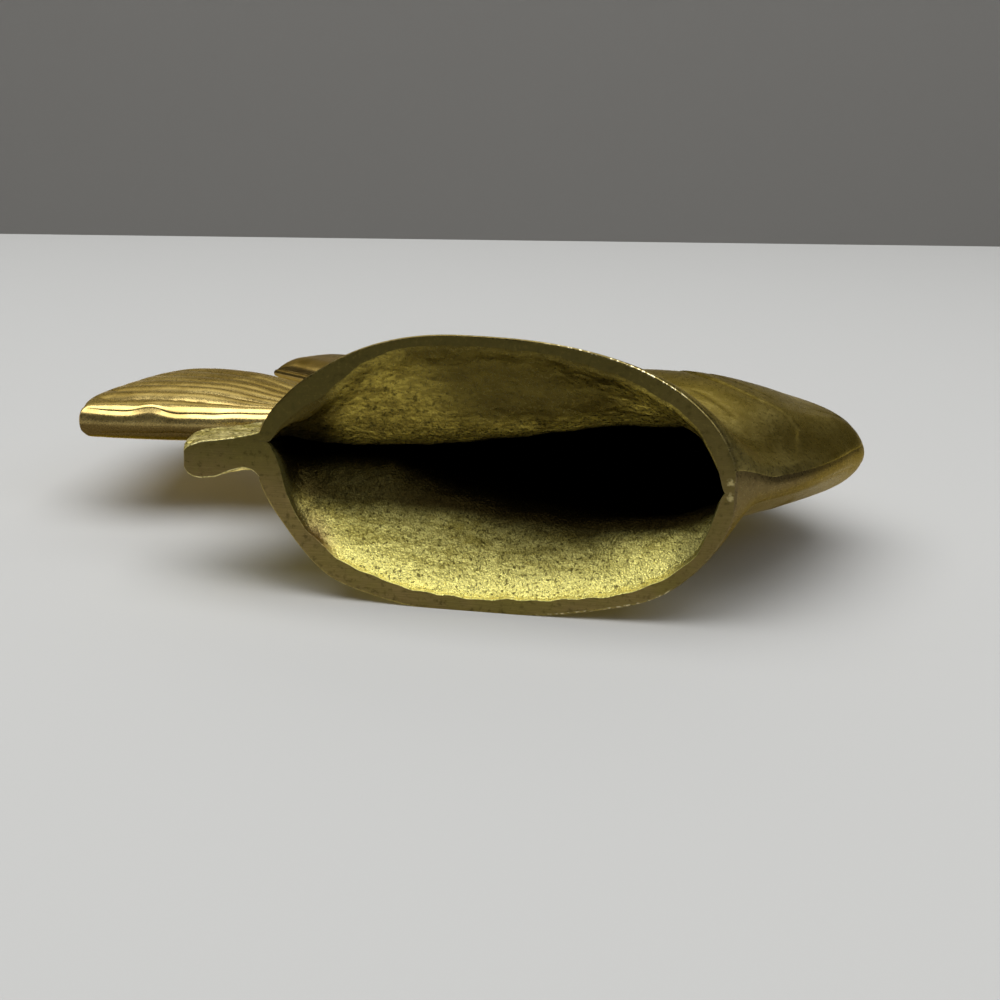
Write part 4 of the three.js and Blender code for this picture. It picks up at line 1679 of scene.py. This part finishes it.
@dataclass
class FinPlate:
    """Plate of one fin: its outline, thickness and rays."""

    sheet: Sheet
    half: float
    edge_half: float
    edge_round: float
    bulge: float
    rays: int
    ray_depth: float
    dome: float
    dome_reach: float = 20.0
    dome_fall: float = 0.4
    dome_root: float = 0.5
    wander: tuple[tuple[float, float, float], ...] = ((0.006, 9.0, 4.0), (0.003, 31.0, 17.0))
    tip_fade: Span = (0.5, 6.0)
    root_fade: float = 0.05
    shallow: float = 0.45
    shallow_from: Span = (0.1, 0.7)
    groove_tone: Span = (0.72, 1.0)
    probe: float = 0.01
    columns: int = 200
    rows: int = 90
    layers: int = 8
    finer: Knots = ((0.0, 0.0), (0.1, 0.02), (0.9, 0.98), (1.0, 1.0))

    def across(self, slab: Slab) -> tuple[Array, float]:
        """Place of each vertex from the low edge to the high one, and the inset that leaves room to bulge."""
        inset = self.bulge / self.sheet.top.length
        return lerp(inset, 1.0 - inset, graded(slab.u, self.finer)), inset

    def surface(self, slab: Slab) -> tuple[Array, Array, Array]:
        """Side-view points, half thickness and groove depth at each vertex.

        Args:
            slab: The fin's slab.

        Returns:
            Three arrays with one entry for each vertex.
        """
        f, inset = self.across(slab)
        end = 1.0 - self.bulge / self.sheet.left.length
        v = graded(slab.v, self.finer) * end
        p = self.sheet.at(f, v)
        edges = (self.sheet.at(inset, v), self.sheet.at(1.0 - inset, v), self.sheet.at(f, end))
        from_low, from_high, from_tip = (np.linalg.norm(p - edge, axis=-1) for edge in edges)
        rim = rounded(from_low, self.edge_round) * rounded(from_high, self.edge_round)
        half = lerp(self.edge_half, self.half, rim * rounded(from_tip, self.edge_round))
        strayed = f + sum(sway * np.sin(along * v + aside * f) for sway, along, aside in self.wander)
        phase = np.abs((strayed * self.rays) % 1.0 - 0.5) * 2.0
        fade = smoothstep(from_tip, *self.tip_fade) * smoothstep(v, 0.0, self.root_fade)
        depth = self.ray_depth * lerp(1.0, self.shallow, smoothstep(f, *self.shallow_from))
        rise = 1.0 - np.clip(1.0 - from_low / self.dome_reach, 0.0, 1.0) ** 2
        drop = 1.0 - np.clip(1.0 - from_high / (self.dome_fall * self.dome_reach), 0.0, 1.0) ** 2
        dome = self.dome * rise * drop * smoothstep(v, 0.0, self.dome_root)
        dome = dome * rounded(from_tip, self.dome_reach)
        return p, half + dome - depth * phase**2 * fade, smoothstep(phase, *self.groove_tone) * fade

    def bulged(self, slab: Slab, p: Array) -> Array:
        """Side-view points with the edges drawn out to a round.

        Args:
            slab: The fin's slab.
            p: Its side-view points.

        Returns:
            The moved points.
        """
        f, _ = self.across(slab)
        v = graded(slab.v, self.finer)
        edges = (
            (slab.u < GRID_EDGE, self.probe, 0.0),
            (slab.u > 1.0 - GRID_EDGE, -self.probe, 0.0),
            (slab.v > 1.0 - GRID_EDGE, 0.0, -self.probe),
        )
        out = np.zeros_like(p)
        for edge, along_f, along_v in edges:
            way = self.sheet.at(f, v) - self.sheet.at(f + along_f, v + along_v)
            way = way / np.maximum(np.linalg.norm(way, axis=-1, keepdims=True), TINY)
            out += np.where(edge[:, None], way, 0.0)
        length = np.maximum(np.linalg.norm(out, axis=-1, keepdims=True), 1.0)
        swell = np.sqrt(np.clip(1.0 - (2.0 * slab.w - 1.0) ** 2, 0.0, 1.0))
        return p + out / length * (self.bulge * swell)[:, None]


@dataclass
class TailFin:
    """Fan tail behind the body."""

    outline: Outline
    reach: float = -82.3
    low_tip: Place = (-77.5, 33.0)
    low_turn: Place = (-81.0, 45.0)
    high_turns: Knots = ((-81.0, 88.0), (-76.5, 94.0))
    high_tip: Place = (-70.0, 95.5)
    reach_share: float = 0.65
    low_bow: Span = (0.5, 0.75)
    high_bow: Span = (0.5, 0.9)
    wave: float = 1.0
    wave_x: Span = (-63.0, 3.5)
    wave_u: Span = (0.0, 0.12)
    # Painted shade on the tail: the side that faces the floor goes dark, most along the low edge.
    edge_u: Span = (0.1, 0.3)
    upper_tone: float = 0.1
    lower_tone: float = 0.3
    tone_y: Span = (-0.6, 0.8)

    def plate(self) -> FinPlate:
        """Outline and thickness of the tail.

        Returns:
            The plate.
        """
        o = self.outline
        root = o.rear_line.part(o.rear_share(o.tail_root_low), o.rear_share(o.tail_root_high))
        furthest = (self.reach, lerp(self.low_tip[1], self.high_tip[1], self.reach_share))
        edges = []
        for start, tip, bow in zip(root.ends(), (self.low_tip, self.high_tip), (self.low_bow, self.high_bow)):
            middle = (lerp(start[0], tip[0], bow[0]), lerp(start[1], tip[1], bow[1]))
            edges.append(Line.bowed(start, middle, tip))
        end = Line.through([self.low_tip, self.low_turn, furthest, *self.high_turns, self.high_tip])
        return FinPlate(
            Sheet(root, end, *edges),
            half=3.4, edge_half=2.6, edge_round=1.7, bulge=1.1, rays=8, ray_depth=0.9, dome=2.2,
        )

    def build(self, finishes: Finishes) -> bpy.types.Object:
        """Shapes the tail and dresses it.

        Args:
            finishes: The metal finishes.

        Returns:
            The finished piece.
        """
        plate = self.plate()
        slab = Slab.add("tail_fin_fan", plate.columns, plate.rows, plate.layers)
        p, half, groove = plate.surface(slab)
        side = 1.0 - 2.0 * slab.w
        wave = self.wave * bell(p[:, 0], *self.wave_x) * bell(slab.u, *self.wave_u)
        y = (half + np.where(side < 0, wave, 0.0)) * side
        slab.shape(plate.bulged(slab, p), y)
        slab.paint("recess", np.where(slab.on_faces(), groove, 0.0))
        # Painted shade: the side that faces the floor goes dark, most along the low edge.
        edge = fall(slab.u, *self.edge_u)
        tones = self.upper_tone * edge, lerp(self.lower_tone, 1.0, edge)
        slab.paint("aged", lerp(*tones, smoothstep(y, *self.tone_y)))
        slab.dress([finishes.tail])
        return slab.finish("tail_fin", "polished_brass")


@dataclass
class DorsalFin:
    """Swept fin along the back."""

    outline: Outline
    tip: Place = (-66.0, 125.0)
    top: Place = (-57.0, 142.95)
    tip_bow: Span = (0.2, 0.85)
    front_height: float = 142.0
    front_bow: float = 0.4
    rear_height: float = 102.0
    rear_bow: float = 0.35
    smooth_from: Span = (0.42, 0.66)
    # Painted shade on the side that faces the floor, along the low edge.
    edge_u: Span = (0.15, 0.35)
    tone: float = 0.6
    tone_y: Span = (-3.4, 3.0)

    def plate(self) -> FinPlate:
        """Outline and thickness of the dorsal fin.

        Returns:
            The plate.
        """
        root = self.outline.back_line
        rear, front = root.ends()
        end_bow = tuple(lerp(low, high, share) for low, high, share in zip(self.tip, self.top, self.tip_bow))
        sheet = Sheet(
            root,
            Line.bowed(self.tip, end_bow, self.top),
            Line.bowed(rear, (lerp(rear[0], self.tip[0], self.rear_bow), self.rear_height), self.tip),
            Line.bowed(front, (lerp(front[0], self.top[0], self.front_bow), self.front_height), self.top),
        )
        return FinPlate(
            sheet, half=4.2, edge_half=1.0, edge_round=7.0, bulge=1.0, rays=13, ray_depth=0.5, dome=0.1
        )

    def build(self, finishes: Finishes) -> bpy.types.Object:
        """Shapes the dorsal fin and dresses it.

        Args:
            finishes: The metal finishes.

        Returns:
            The finished piece.
        """
        plate = self.plate()
        slab = Slab.add("dorsal_fin_sail", plate.columns, plate.rows, plate.layers)
        p, rayed, groove = plate.surface(slab)
        smooth = replace(plate, ray_depth=0.0).surface(slab)[1]
        ray_share = fall(slab.v, *self.smooth_from)
        y = lerp(smooth, rayed, ray_share) * (1.0 - 2.0 * slab.w)
        slab.shape(plate.bulged(slab, p), y)
        slab.paint("recess", np.where(slab.on_faces(), groove * ray_share, 0.0))
        # Painted shade on the side that faces the floor, along the low edge.
        slab.paint("aged", self.tone * fall(slab.u, *self.edge_u) * smoothstep(y, *self.tone_y))
        slab.dress([finishes.dorsal])
        return slab.finish("dorsal_fin", "polished_brass")


@dataclass
class HeelFin:
    """Short fin behind the base, ground flat with the rim."""

    outline: Outline
    toe_x: float = -41.3
    tip: Place = (-44.6, 15.0)
    root_height: float = 31.0
    top_bow: Span = (0.4, 0.8)
    half: float = 3.35
    edge_half: float = 1.9
    edge_round: float = 2.2
    ground_reach: float = 7.0
    ground_edge: float = 0.25
    ground_blur: float = 0.25
    ground_right: Knots = (
        (-41.3, 1.6), (-41.15, 2.1), (-40.7, 2.55), (-38.2, 3.6), (-32.5, 4.5), (-28.7, 5.4), (-26.4, 6.1),
    )
    ground_left: Knots = (
        (-41.3, 1.3), (-41.1, 2.0), (-40.6, 2.6), (-39.6, 3.1), (-38.3, 3.3), (-35.4, 2.9), (-32.5, 1.6),
        (-30.1, 0.9), (-28.4, 1.2), (-27.2, 2.2), (-26.4, 3.2),
    )
    bevel: float = 0.15
    bevel_share: float = 0.2
    middle: Span = (0.35, 0.65)
    columns: int = 90
    rows: int = 70
    finer: Knots = ((0.0, 0.0), (0.12, 0.02), (0.9, 0.98), (1.0, 1.0))
    skin_height: Span = (0.3, 2.0)
    skin_v: Span = (0.02, 0.1)
    lumps: Span = (1.6, 0.5)

    def sheet(self) -> Sheet:
        """Side view of the heel.

        Returns:
            The sheet.
        """
        root = self.outline.rear_line.part(0.0, self.outline.rear_share(self.root_height))
        low, high = root.ends()
        toe = (self.toe_x, 0.0)
        bow = tuple(lerp(start, end, share) for start, end, share in zip(high, self.tip, self.top_bow))
        back = Line.bowed(toe, (self.tip[0], 0.5 * self.tip[1]), self.tip)
        return Sheet(root, back, Line.through([low, toe]), Line.bowed(high, bow, self.tip))

    def build(self, finishes: Finishes) -> bpy.types.Object:
        """Shapes the heel and dresses it.

        Args:
            finishes: The metal finishes.

        Returns:
            The finished piece.
        """
        sheet = self.sheet()
        slab = Slab.add("heel_fin_foot", self.columns, self.rows, 5)
        f, v = graded(slab.u, self.finer), graded(slab.v, self.finer)
        p = sheet.at(f, v)
        x, z = p[:, 0], p[:, 1]
        from_top, from_tip = (np.linalg.norm(p - q, axis=-1) for q in (sheet.at(1.0, v), sheet.at(f, 1.0)))
        rim = rounded(from_top, self.edge_round) * rounded(from_tip, self.edge_round)
        plain = lerp(self.edge_half, self.half, rim)
        low_share = np.exp(-((z / self.ground_reach) ** 2))
        edge = self.ground_edge * (1.0 - rounded(z, self.ground_edge))
        left, right = (
            lerp(plain, profile(x, ground, self.ground_blur), low_share) - edge
            for ground in (self.ground_left, self.ground_right)
        )
        bevel = np.minimum(self.bevel, self.bevel_share * (left + right))
        inner = [lerp(left, -right, share) for share in self.middle]
        y = slab.pick([left, left - bevel, *inner, bevel - right, -right])
        slab.shape(p, y)
        slab.paint("aged", right_share(y))
        skin = smoothstep(z, *self.skin_height) * smoothstep(v, *self.skin_v)
        slab.roughen("heel_lumps", np.where(slab.on_faces(), skin, 0.0), *self.lumps)
        side_face = slab.faces_in(slab.level() == 0) | slab.faces_in(slab.level() == slab.layers)
        ground_face = slab.faces_in(slab.u < GRID_EDGE) & ~side_face
        slab.dress([finishes.heel_side, finishes.ground], np.where(ground_face, 1, 0))
        return slab.finish("heel_fin", "cast_brass")


# Stage


@dataclass(frozen=True)
class Lamp:
    """Soft rectangular lamp: its place over the lying floor, its power in watts and its size in metres."""

    name: str
    place: tuple[float, float, float]
    power: float
    size: Span


@dataclass
class Stage:
    """Pale floor that the figure lies on, plain light and the camera.

    The boards' size and the camera's clipping range are in metres.
    """

    floor_colour: Colour = (0.47, 0.47, 0.46)
    wall_colour: Colour = (0.20, 0.195, 0.185)
    world_colour: Colour = (0.95, 0.97, 1.0)
    world_strength: float = 0.08
    lying: tuple[tuple[float, float, float], ...] = (
        (0.984808, -0.0172467, 0.1727896), (-0.1736482, -0.0978109, 0.9799384), (0.0, -0.9950556, -0.0993197),
    )
    origin: tuple[float, float, float] = (-16.934, 255.161, 24.27)
    eye_height: float = 100.0
    pitch: float = math.radians(17.5)
    roll: float = math.radians(0.73)
    lens: float = 54.0
    sensor: float = 36.0
    clip: Span = (0.01, 50.0)
    board: float = 8.0
    floor_distance: float = 300.0
    wall_distance: float = 742.0
    wall_height: float = 240.0
    shelf_drop: float = 0.2
    aim: tuple[float, float, float] = (0.0, 290.0, 25.0)
    lamps: tuple[Lamp, ...] = (
        Lamp("key", (-120.0, 240.0, 1000.0), 15.5, (1.5, 1.0)),
        Lamp("back", (-150.0, 1150.0, 520.0), 2.2, (1.8, 0.55)),
        Lamp("fill", (520.0, -150.0, 720.0), 2.2, (0.6, 0.5)),
        Lamp("left", (-60.0, 1000.0, -700.0), 10.0, (1.0, 0.8)),
    )

    def spot(self, right: float, away: float, up: float) -> Vector:
        """Place given over the lying floor, in the part's frame and metres."""
        turn = Matrix(self.lying).transposed()
        return turn @ (Vector((right, away, up)) - Vector(self.origin)) * MM

    def way(self, right: float, away: float, up: float) -> Vector:
        """Direction given over the lying floor, in the part's frame."""
        return (Matrix(self.lying).transposed() @ Vector((right, away, up))).normalized()

    def camera(self) -> None:
        """Camera at the viewing angle of the photograph."""
        ahead = Vector((0.0, math.cos(self.pitch), -math.sin(self.pitch)))
        rise = Vector((0.0, math.sin(self.pitch), math.cos(self.pitch)))
        level = Vector((1.0, 0.0, 0.0))
        right = level * math.cos(self.roll) + rise * math.sin(self.roll)
        up = rise * math.cos(self.roll) - level * math.sin(self.roll)
        data = bpy.data.cameras.new("camera")
        data.sensor_width = self.sensor
        data.lens = self.lens
        data.clip_start, data.clip_end = self.clip
        eye = bpy.data.objects.new("camera", data)
        bpy.context.scene.collection.objects.link(eye)
        turn = Matrix([self.way(*right), self.way(*up), self.way(*(-ahead))]).transposed().to_4x4()
        eye.matrix_world = Matrix.Translation(self.spot(0.0, 0.0, self.eye_height)) @ turn
        bpy.context.scene.camera = eye

    def plane(self, name: str, middle: Vector, normal: Vector, along: Vector) -> bpy.types.Object:
        """Square stage plane.

        Args:
            name: Name of the plane.
            middle: Its middle.
            normal: The way that it faces.
            along: Direction of its first edge.

        Returns:
            The plane.
        """
        bpy.ops.object.select_all(action="DESELECT")
        bpy.ops.mesh.primitive_plane_add(size=self.board)
        board = bpy.context.object
        board.name = name
        across = normal.cross(along).normalized()
        turn = Matrix((along, across, normal)).transposed().to_4x4()
        board.matrix_world = Matrix.Translation(middle) @ turn
        return board

    def pale(self, name: str, colour: Colour, only_seen: bool = False) -> bpy.types.Material:
        """Matt stage surface that is open from behind and lets lamplight through.

        Args:
            name: Name of the material.
            colour: Colour of the surface.
            only_seen: Whether it takes part in nothing but the direct view.

        Returns:
            The material.
        """
        material = bpy.data.materials.new(name)
        material.use_nodes = True
        material.node_tree.nodes.clear()
        g = Graph(material.node_tree)
        matt = g.add("ShaderNodeBsdfDiffuse", Color=colour)
        clear = g.add("ShaderNodeBsdfTransparent")
        path = g.add("ShaderNodeLightPath")
        back = g.add("ShaderNodeNewGeometry").outputs["Backfacing"]
        passed = path.outputs["Is Shadow Ray"]
        if only_seen:
            passed = g.less(1.0, path.outputs["Is Camera Ray"])
        hidden = g.math("MAXIMUM", back, passed)
        final = g.add("ShaderNodeMixShader")
        for socket, value in zip(final.inputs, (hidden, matt.outputs[0], clear.outputs[0])):
            g.put(socket, value)
        g.add("ShaderNodeOutputMaterial", Surface=final.outputs[0])
        return material

    def boards(self) -> None:
        """Floor under the lying figure, the wall beyond it and a shelf for upright views."""
        right, away, up = self.way(1, 0, 0), self.way(0, 1, 0), self.way(0, 0, 1)
        floor = self.plane("floor", self.spot(0.0, self.floor_distance, 0.0), up, right)
        floor.data.materials.append(self.pale("pale_floor", self.floor_colour))
        wall_middle = self.spot(0.0, self.wall_distance, 0.5 * self.wall_height)
        wall = self.plane("backdrop", wall_middle, -away, right)
        wall.scale = (1.0, self.wall_height * MM / self.board, 1.0)
        wall.data.materials.append(self.pale("backdrop_grey", self.wall_colour))
        shelf_middle = Vector((0.0, 0.0, -self.shelf_drop * MM))
        shelf = self.plane("shelf", shelf_middle, Vector((0, 0, 1)), Vector((1, 0, 0)))
        shelf.data.materials.append(self.pale("pale_shelf", self.floor_colour, only_seen=True))

    def hang(self, lamp: Lamp) -> None:
        """Hangs one lamp, aimed at the figure.

        Args:
            lamp: The lamp.
        """
        data = bpy.data.lights.new(lamp.name, "AREA")
        data.shape = "RECTANGLE"
        data.size, data.size_y = lamp.size
        data.energy = lamp.power
        hung = bpy.data.objects.new(lamp.name, data)
        bpy.context.scene.collection.objects.link(hung)
        hung.location = self.spot(*lamp.place)
        hung.rotation_mode = "QUATERNION"
        hung.rotation_quaternion = (self.spot(*self.aim) - self.spot(*lamp.place)).to_track_quat("-Z", "Y")

    def light(self) -> None:
        """Overhead key, weak back and fill lamps, one for the left flank of upright views, and a dim room."""
        for lamp in self.lamps:
            self.hang(lamp)
        world = bpy.data.worlds.new("room")
        bpy.context.scene.world = world
        world.use_nodes = True
        back = next(n for n in world.node_tree.nodes if n.type == "BACKGROUND")
        back.inputs["Color"].default_value = (*self.world_colour, 1.0)
        back.inputs["Strength"].default_value = self.world_strength

    def build(self) -> None:
        """Sets the whole stage."""
        self.camera()
        self.boards()
        self.light()
        bpy.context.scene.view_settings.view_transform = "Standard"


def main() -> None:
    """Builds the figure piece by piece and sets the stage."""
    logging.basicConfig(level=logging.INFO, format="%(message)s")
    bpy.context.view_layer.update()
    finishes = Finishes()
    form = BodyForm()
    outline = form.outline
    heel = HeelFin(outline)
    heel_top, bead_end = outline.rear_share(heel.root_height), 0.995
    tail_low, tail_high = (outline.rear_share(z) for z in (outline.tail_root_low, outline.tail_root_high))
    for side in Side:
        Flank(side, form).build(finishes)
    SeamBead("front_seam_braze", form, at_front=True, start=0.0, end=bead_end, steps=320).build(finishes)
    SeamBead("rear_seam_braze", form, at_front=False, start=heel_top, end=tail_low, steps=40).build(finishes)
    SeamBead("back_seam_braze", form, at_front=False, start=tail_high, end=bead_end, steps=40).build(finishes)
    TailFin(outline).build(finishes)
    DorsalFin(outline).build(finishes)
    heel.build(finishes)
    Stage().build()


if __name__ == "__main__":
    main()
